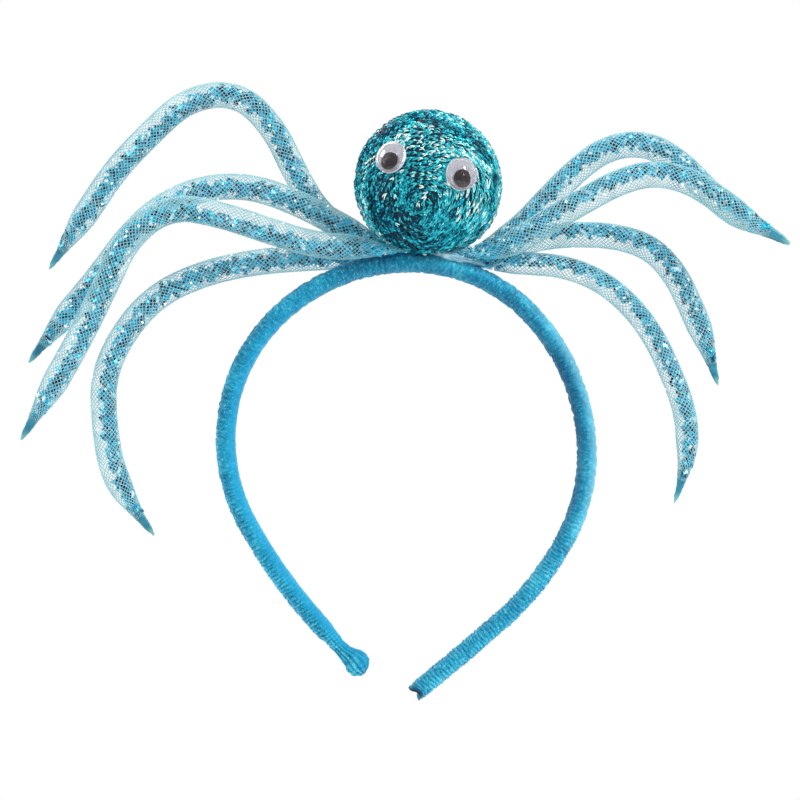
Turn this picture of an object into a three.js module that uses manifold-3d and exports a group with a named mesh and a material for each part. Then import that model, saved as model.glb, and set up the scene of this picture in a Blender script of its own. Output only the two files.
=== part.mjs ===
// An octopus headband: a velvet-covered hair band with a ball body, two googly eyes and eight net tentacles.
// Millimetres. The origin is the underside of the band's crown, where the band sits on the head.
// +X points to the viewer's right, -Y to the viewer, who faces the eyes, and +Z up.
// Left and right in the names are the viewer's. Tentacles are counted from the highest arch to the lowest.

import * as THREE from 'three';
import { mergeVertices } from 'three/addons/utils/BufferGeometryUtils.js';
import Module from 'manifold-3d';

const wasm = await Module();
wasm.setup();

// The clearance that neighbouring pieces keep.
const gap = 0.3;

// The band: an oval section bent round the head in the XZ plane.
const limbLength = 185;
const leftLimbShortfall = 11.5;
const bandThickness = 6.4;
const bandDepth = 8;
const bandSides = 12;
const bandStep = 8.4;

// The left end: a gathered knob behind a narrow neck. The right end: a cut face with a shallow pocket.
const knobLength = 9;
const knobWidth = 8.7;
const knobDepth = 8;
const neckWidth = 5;
const neckLength = 9;
const cutWidth = 6;
const pocketWidth = 3.6;
const pocketDepth = 2.5;

// The ball: pressed down over the band's crown, a little to the right of its middle.
const ballDiameter = 45.4;
const ballOffset = 5.5;
const ballSeat = 1.4;
const ballColumns = 32;
const ballRows = 20;

// The bead of clear glue that squeezed out between the ball and the band, just before a tentacle's root.
const glueLength = 6;
const glueDepth = 5;
const glueHeight = 3.4;
const glueForward = 2;
const glueMeets = 'right_2';

// The eyes: a flat backing, a clear hollow dome on it and a loose pupil inside.
const eyeWidth = 10;
const eyeSides = 24;
const backingThickness = 0.9;
const domeHeight = 3;
const domeWall = 0.7;
const domeRim = 0.5;
const pupilWidth = 5.4;
const pupilThickness = 0.5;
const eyeGap = 0.2;

// The tentacles: a net tube pinched at its root and sealed flat at its tip, round a core of tinsel.
const tentacleLength = 155;
const tubeWidth = 8.3;
const tubeWall = 1;
const tubeSides = 10;
const tubeStep = 8.6;
const pinchLength = 14;
const tipLength = 20;
const coreWidth = 4.2;
const coreSides = 6;
const routeSteps = 200;

// The band's limbs from the crown down: arcs by their share of the limb, with their turn in degrees.
const limbArcs = [
  { share: 0.245, left: 44, right: 50 },
  { share: 0.225, left: 45, right: 37 },
  { share: 0.155, left: 30, right: 30 },
  { share: 0.187, left: 12, right: 22 },
  { share: 0.188, left: 4, right: 2 },
];

// The knob from its end back to its neck: distance as a share of its length, size as a share of its width.
const knobSections = [
  { back: 0, size: 0.5 },
  { back: 0.12, size: 0.84 },
  { back: 0.38, size: 1 },
  { back: 0.68, size: 0.94 },
];

// The sleeve at its root: distance as a share of the pinch, height and depth as shares of the tube's width.
const pinchSections = [
  { along: 0, height: 0.24, depth: 0.62 },
  { along: 0.3, height: 0.52, depth: 0.8 },
  { along: 0.65, height: 0.82, depth: 0.93 },
  { along: 1, height: 1, depth: 1 },
];

// The sleeve at its tip: distance back from the end as a share of the tip's length, and shares as above.
const tipSections = [
  { back: 1, height: 1, depth: 1 },
  { back: 0.78, height: 0.8, depth: 0.74 },
  { back: 0.6, height: 0.52, depth: 0.42 },
  { back: 0.46, height: 0.36, depth: 0.17 },
  { back: 0.2, height: 0.34, depth: 0.14 },
  { back: 0, height: 0.26, depth: 0.12 },
];

// The routes. reach: the length, as a share of the longest one's. out: the root's distance from the
// ball's axis, as a share of the ball's radius. girth: this tentacle's own width, as a share of the tube's.
// rise: the root's height over the band's crown, in tube widths. climbs: the slope in the front view at
// equal shares of the length, in degrees. depths: the distance behind the band's plane at equal shares of
// the length, in tube widths.
const routes = [
  {
    name: 'left_1', side: -1, reach: 1, out: 0.58, girth: 1, rise: 0.27,
    climbs: [15, 32, 60, 65, 45, -8, -42, -45, -55, -55, -55], depths: [1.9, 2.15, 2.2, 2.8, 3.6],
  },
  {
    name: 'left_2', side: -1, reach: 0.916, out: 0.49, girth: 1, rise: 0.11,
    climbs: [20, 30, 27, 18, -3, -24, -44, -54, -50, -50, -53], depths: [0.95, 1, 1, 1.1, 1.2],
  },
  {
    name: 'left_3', side: -1, reach: 1, out: 0.49, girth: 1, rise: 0.02,
    climbs: [8, 2, 17, 19, 10, -38, -66, -65, -62, -60, -60], depths: [-0.5, -0.7, -0.8, -1.3, -1.8],
  },
  {
    name: 'left_4', side: -1, reach: 0.987, out: 0.76, girth: 1, rise: -0.11,
    climbs: [0, -2, -5, -13, -25, -48, -65, -92, -100, -122, -130], depths: [0.8, 1.05, 0.8, 0.5, 0.25],
  },
  {
    name: 'right_1', side: 1, reach: 0.794, out: 0.53, girth: 1, rise: 0.06,
    climbs: [2, 33, 47, 46, 38, 8, -30, -47, -40, -27, -32], depths: [0.9, 1.1, 1, 0.9, 0.9],
  },
  {
    name: 'right_2', side: 1, reach: 0.7, out: 0.66, girth: 1, rise: -0.13,
    climbs: [8, 27, 33, 30, 29, 17, -10, -31, -37, -27, -33], depths: [-0.45, -0.4, -0.4, -0.5, -0.6],
  },
  {
    name: 'right_3', side: 1, reach: 0.703, out: 0.53, girth: 1, rise: -0.01,
    climbs: [4, 17, 14, 3, -4, -18, -47, -64, -67, -73, -73], depths: [1.75, 2.25, 2.25, 2.3, 2.4],
  },
  {
    name: 'right_4', side: 1, reach: 0.768, out: 0.58, girth: 0.88, rise: -0.38,
    climbs: [4, -2, -5, -22, -40, -54, -66, -70, -85, -102, -112], depths: [0.55, 0.5, 0.2, -0.5, -1.2],
  },
];

// Where the eyes sit on the ball, in degrees: azimuth to the right of the front, elevation upwards.
const eyes = [
  { name: 'left', azimuth: -30, elevation: 16 },
  { name: 'right', azimuth: 25, elevation: 3 },
];

const finishes = {
  velvet: { color: 0x1a94be, roughness: 0.85, metalness: 0 },
  lurex: { color: 0x15808f, roughness: 0.35, metalness: 0.7 },
  glue: { color: 0xb9dde2, roughness: 0.15, metalness: 0 },
  backing: { color: 0xf0efe9, roughness: 0.5, metalness: 0 },
  dome: { color: 0xe8eeee, roughness: 0.05, metalness: 0, transparent: true, opacity: 0.35 },
  pupil: { color: 0x17120f, roughness: 0.4, metalness: 0 },
  net: { color: 0x8fd4e0, roughness: 0.35, metalness: 0, transparent: true, opacity: 0.5 },
  tinsel: { color: 0x0f6f9c, roughness: 0.25, metalness: 0.9 },
};

const ballRadius = ballDiameter / 2;
const ballHeight = bandThickness + ballRadius - ballSeat;
const octopus = new THREE.Group();

function radians(degrees) {
  return THREE.MathUtils.degToRad(degrees);
}

// The value of a list that is spread evenly over 0 to 1, between its entries in a straight line.
function spread(list, share) {
  const place = THREE.MathUtils.clamp(share, 0, 1) * (list.length - 1);
  const index = Math.min(Math.floor(place), list.length - 2);
  return THREE.MathUtils.lerp(list[index], list[index + 1], place - index);
}

// A closed oval ring of points round a centre, on the two half axes given.
function oval(centre, across, up, sides) {
  const ring = [];
  for (let k = 0; k < sides; k += 1) {
    const angle = (2 * Math.PI * (k + 0.5)) / sides;
    ring.push(centre.clone().addScaledVector(across, Math.cos(angle)).addScaledVector(up, Math.sin(angle)));
  }
  return ring;
}

// A closed skin over rings of equal count, with a fan over the first ring and one over the last.
function loft(rings) {
  const sides = rings[0].length;
  const points = rings.flat();
  const faces = [];
  for (let r = 0; r + 1 < rings.length; r += 1) {
    for (let k = 0; k < sides; k += 1) {
      const a = r * sides + k;
      const b = r * sides + ((k + 1) % sides);
      faces.push(a, b, b + sides, a, b + sides, a + sides);
    }
  }
  for (const [first, flip] of [[0, true], [(rings.length - 1) * sides, false]]) {
    const centre = new THREE.Vector3();
    for (let k = 0; k < sides; k += 1) centre.add(points[first + k]);
    points.push(centre.divideScalar(sides));
    for (let k = 0; k < sides; k += 1) {
      const pair = [first + k, first + ((k + 1) % sides)];
      faces.push(...(flip ? pair.reverse() : pair), points.length - 1);
    }
  }
  const geometry = new THREE.BufferGeometry().setFromPoints(points);
  geometry.setIndex(faces);
  return geometry;
}

function toSolid(geometry) {
  const bare = geometry.clone();
  bare.deleteAttribute('normal');
  bare.deleteAttribute('uv');
  const merged = mergeVertices(bare, 1e-4);
  return new wasm.Manifold(new wasm.Mesh({
    numProp: 3,
    vertProperties: new Float32Array(merged.attributes.position.array),
    triVerts: new Uint32Array(merged.index.array),
  }));
}

function toGeometry(solid) {
  const mesh = solid.getMesh();
  const geometry = new THREE.BufferGeometry();
  geometry.setAttribute('position', new THREE.BufferAttribute(mesh.vertProperties, 3));
  geometry.setIndex(new THREE.BufferAttribute(mesh.triVerts, 1));
  return geometry;
}

function addPiece(name, geometry, finish, parent = octopus) {
  geometry.computeVertexNormals();
  const mesh = new THREE.Mesh(geometry, new THREE.MeshStandardMaterial(finish));
  mesh.name = name;
  parent.add(mesh);
  return mesh;
}

// The point and heading on the band's middle line at a distance from the crown, on one side.
function limbPoint(distance, side) {
  const point = new THREE.Vector3(0, 0, bandThickness / 2);
  let heading = 0;
  let left = distance;
  for (const arc of limbArcs) {
    const run = Math.min(left, arc.share * limbLength);
    const radius = (arc.share * limbLength) / radians(side < 0 ? arc.left : arc.right);
    const turned = heading + run / radius;
    point.x += radius * (Math.sin(turned) - Math.sin(heading));
    point.z -= radius * (Math.cos(heading) - Math.cos(turned));
    heading = turned;
    left -= run;
  }
  point.x *= side;
  return { point, outward: new THREE.Vector3(side * Math.sin(heading), 0, Math.cos(heading)) };
}

// One oval section of the band. A negative distance lies on the left limb.
function bandRing(distance, thickness, depth) {
  const { point, outward } = limbPoint(Math.abs(distance), Math.sign(distance) || 1);
  const back = new THREE.Vector3(0, depth / 2, 0);
  return oval(point, back, outward.multiplyScalar(thickness / 2), bandSides);
}

// The band as a solid, grown by an allowance all round for the cuts that it makes in its neighbours.
function bandGeometry(grown = 0) {
  const leftEnd = limbLength - leftLimbShortfall;
  const rings = [];
  for (const { back, size } of knobSections) {
    const distance = leftEnd - back * knobLength;
    rings.push(bandRing(-distance, size * knobWidth + 2 * grown, size * knobDepth + 2 * grown));
  }
  const neck = leftEnd - knobLength;
  rings.push(bandRing(-neck, neckWidth + 2 * grown, neckWidth + 2 * grown));
  const start = -(neck - neckLength);
  const steps = Math.ceil((limbLength - start) / bandStep);
  for (let k = 0; k < steps; k += 1) {
    const distance = THREE.MathUtils.lerp(start, limbLength, k / steps);
    rings.push(bandRing(distance, bandThickness + 2 * grown, bandDepth + 2 * grown));
  }
  rings.push(bandRing(limbLength, cutWidth + 2 * grown, (cutWidth * bandDepth) / bandThickness + 2 * grown));
  rings.push(bandRing(limbLength, pocketWidth, pocketWidth));
  rings.push(bandRing(limbLength - pocketDepth, 0.6 * pocketWidth, 0.6 * pocketWidth));
  return loft(rings);
}

function ballGeometry(grown = 0) {
  const geometry = new THREE.SphereGeometry(ballRadius + grown, ballColumns, ballRows);
  geometry.rotateX(Math.PI / 2);
  return geometry.translate(ballOffset, 0, ballHeight);
}

// The ball's underside is dented by the band that it is pressed on.
function makeBall() {
  const ball = toSolid(ballGeometry()).subtract(toSolid(bandGeometry(gap)));
  addPiece('body_ball', toGeometry(ball), finishes.lurex);
}

// The bead lies in the wedge under the ball, its far end just short of the root that it meets.
function makeGlue() {
  const reach = routes.find(({ name }) => name === glueMeets).out * ballRadius - 2 * gap - glueLength / 2;
  const { point, outward } = limbPoint(ballOffset + reach, 1);
  const ballUnderside = ballHeight - Math.sqrt(ballRadius ** 2 - reach ** 2);
  const bandTop = point.z + bandThickness / 2;
  const bead = new THREE.SphereGeometry(0.5, 12, 8);
  bead.scale(glueLength, glueDepth, glueHeight);
  bead.rotateY(Math.atan2(outward.x, outward.z));
  bead.translate(ballOffset + reach, -glueForward, (ballUnderside + bandTop) / 2);
  const solid = toSolid(bead).subtract(toSolid(bandGeometry(gap))).subtract(toSolid(ballGeometry(gap)));
  addPiece('glue_bead', toGeometry(solid), finishes.glue);
}

// A round dome open below: the outer skin from its top to its rim, then the inner skin back to the top.
function domeGeometry() {
  const outer = eyeWidth / 2;
  const inner = outer - domeWall;
  const rings = [];
  const addRing = (radius, height) => rings.push(oval(
    new THREE.Vector3(0, 0, height),
    new THREE.Vector3(radius, 0, 0),
    new THREE.Vector3(0, radius, 0),
    eyeSides,
  ));
  const arc = [15, 40, 65, 90];
  for (const angle of arc) {
    addRing(outer * Math.sin(radians(angle)), domeRim + (domeHeight - domeRim) * Math.cos(radians(angle)));
  }
  addRing(outer, 0);
  addRing(inner, 0);
  const shoulder = pupilThickness + 2 * eyeGap;
  const rise = domeHeight - domeWall - shoulder;
  for (const angle of arc.toReversed()) {
    addRing(inner * Math.sin(radians(angle)), shoulder + rise * Math.cos(radians(angle)));
  }
  return loft(rings.toReversed());
}

function makeEye({ name, azimuth, elevation }) {
  const outward = new THREE.Vector3(
    Math.sin(radians(azimuth)) * Math.cos(radians(elevation)),
    -Math.cos(radians(azimuth)) * Math.cos(radians(elevation)),
    Math.sin(radians(elevation)),
  );
  const up = new THREE.Vector3(0, 0, 1).addScaledVector(outward, -outward.z).normalize();
  const eye = new THREE.Group();
  eye.setRotationFromMatrix(new THREE.Matrix4().makeBasis(up.clone().cross(outward), up, outward));
  eye.position.set(ballOffset, 0, ballHeight).addScaledVector(outward, ballRadius + eyeGap);
  octopus.add(eye);

  const disc = (width, thickness) => {
    const geometry = new THREE.CylinderGeometry(width / 2, width / 2, thickness, eyeSides);
    return geometry.rotateX(Math.PI / 2).translate(0, 0, thickness / 2);
  };
  addPiece(`eye_backing_${name}`, disc(eyeWidth, backingThickness), finishes.backing, eye);
  const floor = backingThickness + eyeGap;
  addPiece(`eye_dome_${name}`, domeGeometry(), finishes.dome, eye).position.z = floor;
  // The pupil hangs at the lowest point that it can reach inside the dome.
  const swing = eyeWidth / 2 - domeWall - pupilWidth / 2 - eyeGap;
  const pupil = addPiece(`pupil_${name}`, disc(pupilWidth, pupilThickness), finishes.pupil, eye);
  pupil.position.set(0, -swing, floor);
}

// The middle line of a tentacle, as points at the stations, with the two axes of the section at each.
function followRoute(route, stations) {
  const start = new THREE.Vector3(
    ballOffset + route.side * route.out * ballRadius,
    0,
    bandThickness + route.rise * tubeWidth,
  );
  const line = [start];
  const run = (route.reach * tentacleLength) / routeSteps;
  for (let k = 0; k < routeSteps; k += 1) {
    const climb = radians(spread(route.climbs, (k + 0.5) / routeSteps));
    const next = line[k].clone();
    next.x += route.side * run * Math.cos(climb);
    next.z += run * Math.sin(climb);
    line.push(next);
  }
  const bend = new THREE.CatmullRomCurve3(route.depths.map((depth, k) => new THREE.Vector3(k, depth, 0)));
  line.forEach((point, k) => {
    point.y = tubeWidth * bend.getPoint(k / routeSteps).y;
  });
  const at = (distance) => {
    const place = THREE.MathUtils.clamp(distance / run, 0, routeSteps);
    const index = Math.min(Math.floor(place), routeSteps - 1);
    return line[index].clone().lerp(line[index + 1], place - index);
  };
  return stations.map((distance) => {
    const ahead = at(distance + run).sub(at(distance - run)).normalize();
    const up = ahead.clone().cross(new THREE.Vector3(0, route.side, 0)).normalize();
    return { point: at(distance), across: ahead.cross(up), up };
  });
}

// The sections of a sleeve, from its root to its tip: distance, height and depth of each.
function sleeveSections(length) {
  const sections = pinchSections.map(({ along, height, depth }) => ({
    distance: along * pinchLength, height, depth,
  }));
  const straight = length - pinchLength - tipLength;
  const steps = Math.ceil(straight / tubeStep);
  for (let k = 1; k < steps; k += 1) {
    sections.push({ distance: pinchLength + (straight * k) / steps, height: 1, depth: 1 });
  }
  for (const { back, height, depth } of tipSections) {
    sections.push({ distance: length - back * tipLength, height, depth });
  }
  return sections;
}

// A sleeve is one skin: over the outside from the tip to the root, then up the inside to a closed end.
function makeTentacle(route) {
  const sections = sleeveSections(route.reach * tentacleLength);
  const places = followRoute(route, sections.map(({ distance }) => distance));
  const girth = tubeWidth * route.girth;
  const ring = (k, trim, sides, lift = 0) => {
    const { point, across, up } = places[k];
    return oval(
      point.clone().addScaledVector(up, lift),
      across.clone().multiplyScalar(trim((sections[k].depth * girth) / 2)),
      up.clone().multiplyScalar(trim((sections[k].height * girth) / 2)),
      sides,
    );
  };
  const narrowest = sections.map(({ height, depth }) => Math.min(height, depth));
  const outside = sections.map((section, k) => ring(k, (half) => half, tubeSides));
  const hollow = (half) => Math.max(half - tubeWall, 0.4 * half);
  const hollowEnd = narrowest.findLastIndex((share) => share > 0.4) + 1;
  const inside = sections.slice(0, hollowEnd).map((section, k) => ring(k, hollow, tubeSides));
  addPiece(`tentacle_sleeve_${route.name}`, loft([...outside.toReversed(), ...inside]), finishes.net);

  // The core lies against the upper side of the hollow, clear of its flats.
  const flatness = Math.cos(Math.PI / tubeSides);
  const lift = Math.max((girth / 2 - tubeWall) * flatness - coreWidth / 2 - gap, 0);
  const filling = (half) => Math.min(coreWidth / 2, (half - tubeWall) * flatness - gap);
  const strands = [];
  narrowest.forEach((share, k) => {
    if (share > 0.7) strands.push(ring(k, filling, coreSides, share === 1 ? lift : 0));
  });
  addPiece(`tinsel_core_${route.name}`, loft(strands.toReversed()), finishes.tinsel);
}

addPiece('velvet_band', bandGeometry(), finishes.velvet);
makeBall();
makeGlue();
eyes.forEach(makeEye);
routes.forEach(makeTentacle);

export default octopus;
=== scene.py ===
"""The looks of an octopus headband: velvet band, knitted foil ball, googly eyes and net tentacles.

Sizes are in millimetres and become metres where a mesh is made. The origin is the underside of the band's
crown, +X points to the viewer's right, -Y to the viewer and +Z up. Left and right are the viewer's.
"""

import logging
import math
from collections.abc import Sequence
from dataclasses import dataclass, field
from enum import Enum
from functools import partialmethod

import bmesh
import bpy
import numpy as np
from mathutils import Matrix, Vector, noise


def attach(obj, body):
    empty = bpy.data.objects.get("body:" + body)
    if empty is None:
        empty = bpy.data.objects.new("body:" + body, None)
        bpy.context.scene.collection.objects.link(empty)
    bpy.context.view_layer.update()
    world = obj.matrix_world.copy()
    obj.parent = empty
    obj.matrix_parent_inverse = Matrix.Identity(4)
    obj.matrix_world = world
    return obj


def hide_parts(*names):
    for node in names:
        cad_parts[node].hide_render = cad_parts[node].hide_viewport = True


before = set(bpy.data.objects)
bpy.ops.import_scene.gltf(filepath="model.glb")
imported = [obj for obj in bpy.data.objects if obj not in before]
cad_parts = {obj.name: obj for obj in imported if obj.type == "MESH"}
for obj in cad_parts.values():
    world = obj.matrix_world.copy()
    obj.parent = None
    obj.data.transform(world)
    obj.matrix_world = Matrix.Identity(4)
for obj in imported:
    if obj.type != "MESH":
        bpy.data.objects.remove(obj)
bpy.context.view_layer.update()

LOG = logging.getLogger("octopus")
MM = 0.001
HEADBAND = "headband"

Rgba = tuple[float, float, float, float]
Socket = bpy.types.NodeSocket
Feed = Socket | float | int | str | tuple | bpy.types.Material


class Side(Enum):
    """The viewer's side on which something lies."""

    LEFT = -1
    RIGHT = 1


class Slot(Enum):
    """The record's material slots."""

    VELVET = "velvet"
    LUREX = "lurex"
    GLUE = "glue"
    EYE_WHITE = "eye_white"
    CLEAR_DOME = "clear_dome"
    PUPIL_BLACK = "pupil_black"
    NET = "net"
    TINSEL = "tinsel"


def tone(red: int, green: int, blue: int) -> Rgba:
    """Turns a screen colour into the linear colour that shaders take.

    Args:
        red: The red share, 0 to 255.
        green: The green share, 0 to 255.
        blue: The blue share, 0 to 255.

    Returns:
        The linear colour, opaque.
    """
    shares = [value / 255 for value in (red, green, blue)]
    linear = [((s + 0.055) / 1.055) ** 2.4 if s > 0.04045 else s / 12.92 for s in shares]
    return (*linear, 1.0)


class NodeSheet:
    """A node tree under construction, in which each step is one call."""

    def __init__(self, tree: bpy.types.NodeTree) -> None:
        """Starts on an empty tree."""
        self.tree = tree
        tree.nodes.clear()

    def add(
        self, kind: str, feeds: dict[str | int, Feed] | None = None, **settings: object,
    ) -> bpy.types.Node:
        """Adds a node.

        Args:
            kind: The node's type name.
            feeds: What each input takes, by its name or place: a socket to link or a value.
            settings: The node's own settings.

        Returns:
            The new node.
        """
        node = self.tree.nodes.new(kind)
        for name, value in settings.items():
            setattr(node, name, value)
        for key, value in (feeds or {}).items():
            self.feed(node.inputs[key], value)
        return node

    def feed(self, socket: Socket, value: Feed) -> None:
        """Links a socket to another, or sets its value."""
        if isinstance(value, Socket):
            self.tree.links.new(value, socket)
        else:
            socket.default_value = value

    def sum(self, operation: str, *values: Feed, clamp: bool = False) -> Socket:
        """Works out a number from numbers.

        Args:
            operation: The operation's name, such as MULTIPLY.
            values: What it takes.
            clamp: Whether the result is held between 0 and 1.

        Returns:
            The result's socket.
        """
        feeds = dict(enumerate(values))
        return self.add("ShaderNodeMath", feeds, operation=operation, use_clamp=clamp).outputs[0]

    times = partialmethod(sum, "MULTIPLY")
    plus = partialmethod(sum, "ADD")
    minus = partialmethod(sum, "SUBTRACT")
    over = partialmethod(sum, "DIVIDE")
    less = partialmethod(sum, "LESS_THAN")
    sine = partialmethod(sum, "SINE")
    cosine = partialmethod(sum, "COSINE")
    absolute = partialmethod(sum, "ABSOLUTE")

    def vector(self, operation: str, *values: Feed) -> Socket:
        """Works out a vector, or a number for DOT_PRODUCT and LENGTH, from vectors."""
        node = self.add("ShaderNodeVectorMath", dict(enumerate(values)), operation=operation)
        return node.outputs["Value" if operation in ("DOT_PRODUCT", "LENGTH") else "Vector"]

    def scaled(self, vector: Feed, factor: Feed) -> Socket:
        """Multiplies a vector by a number."""
        feeds = {0: vector, "Scale": factor}
        return self.add("ShaderNodeVectorMath", feeds, operation="SCALE").outputs["Vector"]

    def added(self, *vectors: Feed) -> Socket:
        """Adds up vectors."""
        total = vectors[0]
        for vector in vectors[1:]:
            total = self.vector("ADD", total, vector)
        return total

    def noise(self, place: Feed, scale: float, detail: float = 2.0) -> Socket:
        """Reads a smooth noise of 0 to 1 at a place.

        Args:
            place: Where it is read, in metres.
            scale: How many features there are in a metre.
            detail: How many finer layers it has.

        Returns:
            The noise's socket.
        """
        feeds = {"Vector": place, "Scale": scale, "Detail": detail}
        return self.add("ShaderNodeTexNoise", feeds).outputs[0]

    def mapped(self, value: Feed, low: float, high: float, start: float, end: float) -> Socket:
        """Carries a number from the range low to high over to the range start to end, and holds it there."""
        feeds = {"Value": value, "From Min": low, "From Max": high, "To Min": start, "To Max": end}
        return self.add("ShaderNodeMapRange", feeds).outputs[0]


class Recipe(NodeSheet):
    """A Geometry Nodes tree that grows a piece on a rail."""

    KINDS = {float: "NodeSocketFloat", int: "NodeSocketInt", bpy.types.Material: "NodeSocketMaterial"}

    def __init__(self, name: str, sizes: dict[str, type]) -> None:
        """Makes the tree with its named inputs.

        Args:
            name: The tree's name.
            sizes: The kind of each input, by its name. Rail and Material are always there.
        """
        super().__init__(bpy.data.node_groups.new(name, "GeometryNodeTree"))
        face = self.tree.interface
        face.new_socket("Piece", in_out="OUTPUT", socket_type="NodeSocketGeometry")
        face.new_socket("Rail", in_out="INPUT", socket_type="NodeSocketGeometry")
        for title, kind in {**sizes, "Material": bpy.types.Material}.items():
            face.new_socket(title, in_out="INPUT", socket_type=self.KINDS[kind])
        self.given = self.add("NodeGroupInput").outputs

    def attribute(self, name: str, kind: str = "FLOAT") -> Socket:
        """Reads a named attribute of the geometry at hand."""
        node = self.add("GeometryNodeInputNamedAttribute", {"Name": name}, data_type=kind)
        return node.outputs["Attribute"]

    def axis(self, name: str) -> Socket:
        """Reads a named attribute that holds vectors."""
        return self.attribute(name, "FLOAT_VECTOR")

    def joined(self, x: Feed, y: Feed, z: Feed) -> Socket:
        """Makes a vector of three numbers."""
        return self.add("ShaderNodeCombineXYZ", {0: x, 1: y, 2: z}).outputs[0]

    def oval(self, depth: Feed, height: Feed, angle: Feed) -> Socket:
        """Finds the arm from the middle of an oval to its edge at an angle."""
        return self.added(self.scaled(depth, self.cosine(angle)), self.scaled(height, self.sine(angle)))

    def turned(self, first: str, primary: Feed, second: str, secondary: Feed) -> Socket:
        """Makes the rotation that lays two named axes along two vectors, the first one exactly."""
        feeds = {"Primary Axis": primary, "Secondary Axis": secondary}
        node = self.add("FunctionNodeAxesToRotation", feeds, primary_axis=first, secondary_axis=second)
        return node.outputs[0]

    def stored(
        self, geometry: Feed, name: str, value: Feed, kind: str = "FLOAT", domain: str = "POINT",
    ) -> Socket:
        """Keeps a value on the geometry under a name.

        Args:
            geometry: The geometry.
            name: The attribute's name.
            value: What it holds.
            kind: Its data type.
            domain: What each value belongs to.

        Returns:
            The geometry's socket.
        """
        feeds = {"Geometry": geometry, "Name": name, "Value": value}
        node = self.add("GeometryNodeStoreNamedAttribute", feeds, data_type=kind, domain=domain)
        return node.outputs["Geometry"]

    def chance(self, low: float, high: float, seed: Feed) -> Socket:
        """Draws a number for each element.

        Args:
            low: The least that it may be.
            high: The most that it may be.
            seed: The draw's own seed.

        Returns:
            The number's socket.
        """
        feeds = {2: low, 3: high, "Seed": seed}
        return self.add("FunctionNodeRandomValue", feeds, data_type="FLOAT").outputs[1]

    def moved(self, geometry: Feed, position: Feed) -> Socket:
        """Moves each point to a position."""
        return self.add("GeometryNodeSetPosition", {"Geometry": geometry, "Position": position}).outputs[0]

    def close(self, geometry: Feed, smooth: bool = True) -> None:
        """Ends the tree: shading, real instances, the material, and the output."""
        shaded = self.add("GeometryNodeSetShadeSmooth", {0: geometry, "Shade Smooth": smooth}).outputs[0]
        real = self.add("GeometryNodeRealizeInstances", {0: shaded}).outputs[0]
        feeds = {"Geometry": real, "Material": self.given["Material"]}
        dressed = self.add("GeometryNodeSetMaterial", feeds).outputs[0]
        self.add("NodeGroupOutput", {0: dressed})

    def grow(self, name: str, rail: bpy.types.Mesh, values: dict[str, object]) -> bpy.types.Object:
        """Runs the tree on a rail and keeps the result as a plain mesh.

        Args:
            name: The new piece's name.
            rail: The mesh that the tree starts from.
            values: What each named input takes.

        Returns:
            The new piece, without a modifier.
        """
        carrier = bpy.data.objects.new(name + "_rail", rail)
        bpy.context.scene.collection.objects.link(carrier)
        modifier = carrier.modifiers.new("grow", "NODES")
        modifier.node_group = self.tree
        for item in self.tree.interface.items_tree:
            if item.in_out == "INPUT" and item.name in values:
                modifier[item.identifier] = values[item.name]
        graph = bpy.context.evaluated_depsgraph_get()
        evaluated = carrier.evaluated_get(graph)
        mesh = bpy.data.meshes.new_from_object(evaluated, preserve_all_data_layers=True, depsgraph=graph)
        carrier.modifiers.remove(modifier)
        bpy.data.objects.remove(carrier)
        return link_piece(name, mesh)


def link_piece(
    name: str, mesh: bpy.types.Mesh, material: bpy.types.Material | None = None,
) -> bpy.types.Object:
    """Puts a mesh into the scene under a name.

    Args:
        name: The piece's name.
        mesh: Its mesh, in the row frame, in metres.
        material: Its material, where the mesh has none yet.

    Returns:
        The new object.
    """
    mesh.name = name
    if material is not None:
        mesh.materials.append(material)
    piece = bpy.data.objects.new(name, mesh)
    bpy.context.scene.collection.objects.link(piece)
    return piece


def settle(piece: bpy.types.Object, body: str, replaces: Sequence[str] = ()) -> None:
    """Joins a finished piece to its body and hides the nodes that it stands for.

    Args:
        piece: The finished piece.
        body: The body that it rides on.
        replaces: The nodes that it stands for.
    """
    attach(piece, body)
    if replaces:
        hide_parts(*replaces)
    LOG.info("%s: %d faces on %s", piece.name, len(piece.data.polygons), body)


def rail_mesh(name: str, points: np.ndarray, facts: dict[str, np.ndarray]) -> bpy.types.Mesh:
    """Makes a line of points joined by edges, with facts for each point.

    Args:
        name: The mesh's name.
        points: The points, in metres.
        facts: An array of numbers or of vectors for each named fact.

    Returns:
        The mesh.
    """
    mesh = bpy.data.meshes.new(name)
    mesh.from_pydata(points.tolist(), [(k, k + 1) for k in range(len(points) - 1)], [])
    for title, values in facts.items():
        kind, key = ("FLOAT_VECTOR", "vector") if values.ndim == 2 else ("FLOAT", "value")
        mesh.attributes.new(title, kind, "POINT").data.foreach_set(key, values.astype(np.float32).ravel())
    return mesh


def lathe(profile: Sequence[tuple[float, float]], sides: int, place: Matrix) -> bpy.types.Mesh:
    """Turns a profile round the Z axis into a closed skin.

    Args:
        profile: Radius and height of each point, from the axis back to the axis.
        sides: How many faces go round.
        place: Where the turned shape is put.

    Returns:
        The mesh, smooth shaded.
    """
    shape = bmesh.new()
    line = [shape.verts.new((radius * MM, 0, height * MM)) for radius, height in profile]
    edges = [shape.edges.new(pair) for pair in zip(line, line[1:])]
    bmesh.ops.spin(
        shape, geom=[*line, *edges], axis=(0, 0, 1), cent=(0, 0, 0), steps=sides, angle=2 * math.pi,
        use_merge=True,
    )
    bmesh.ops.remove_doubles(shape, verts=shape.verts, dist=1e-6)
    bmesh.ops.recalc_face_normals(shape, faces=shape.faces)
    mesh = bpy.data.meshes.new("lathe")
    shape.to_mesh(mesh)
    shape.free()
    mesh.transform(place)
    mesh.shade_smooth()
    return mesh


# Finishes


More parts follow.
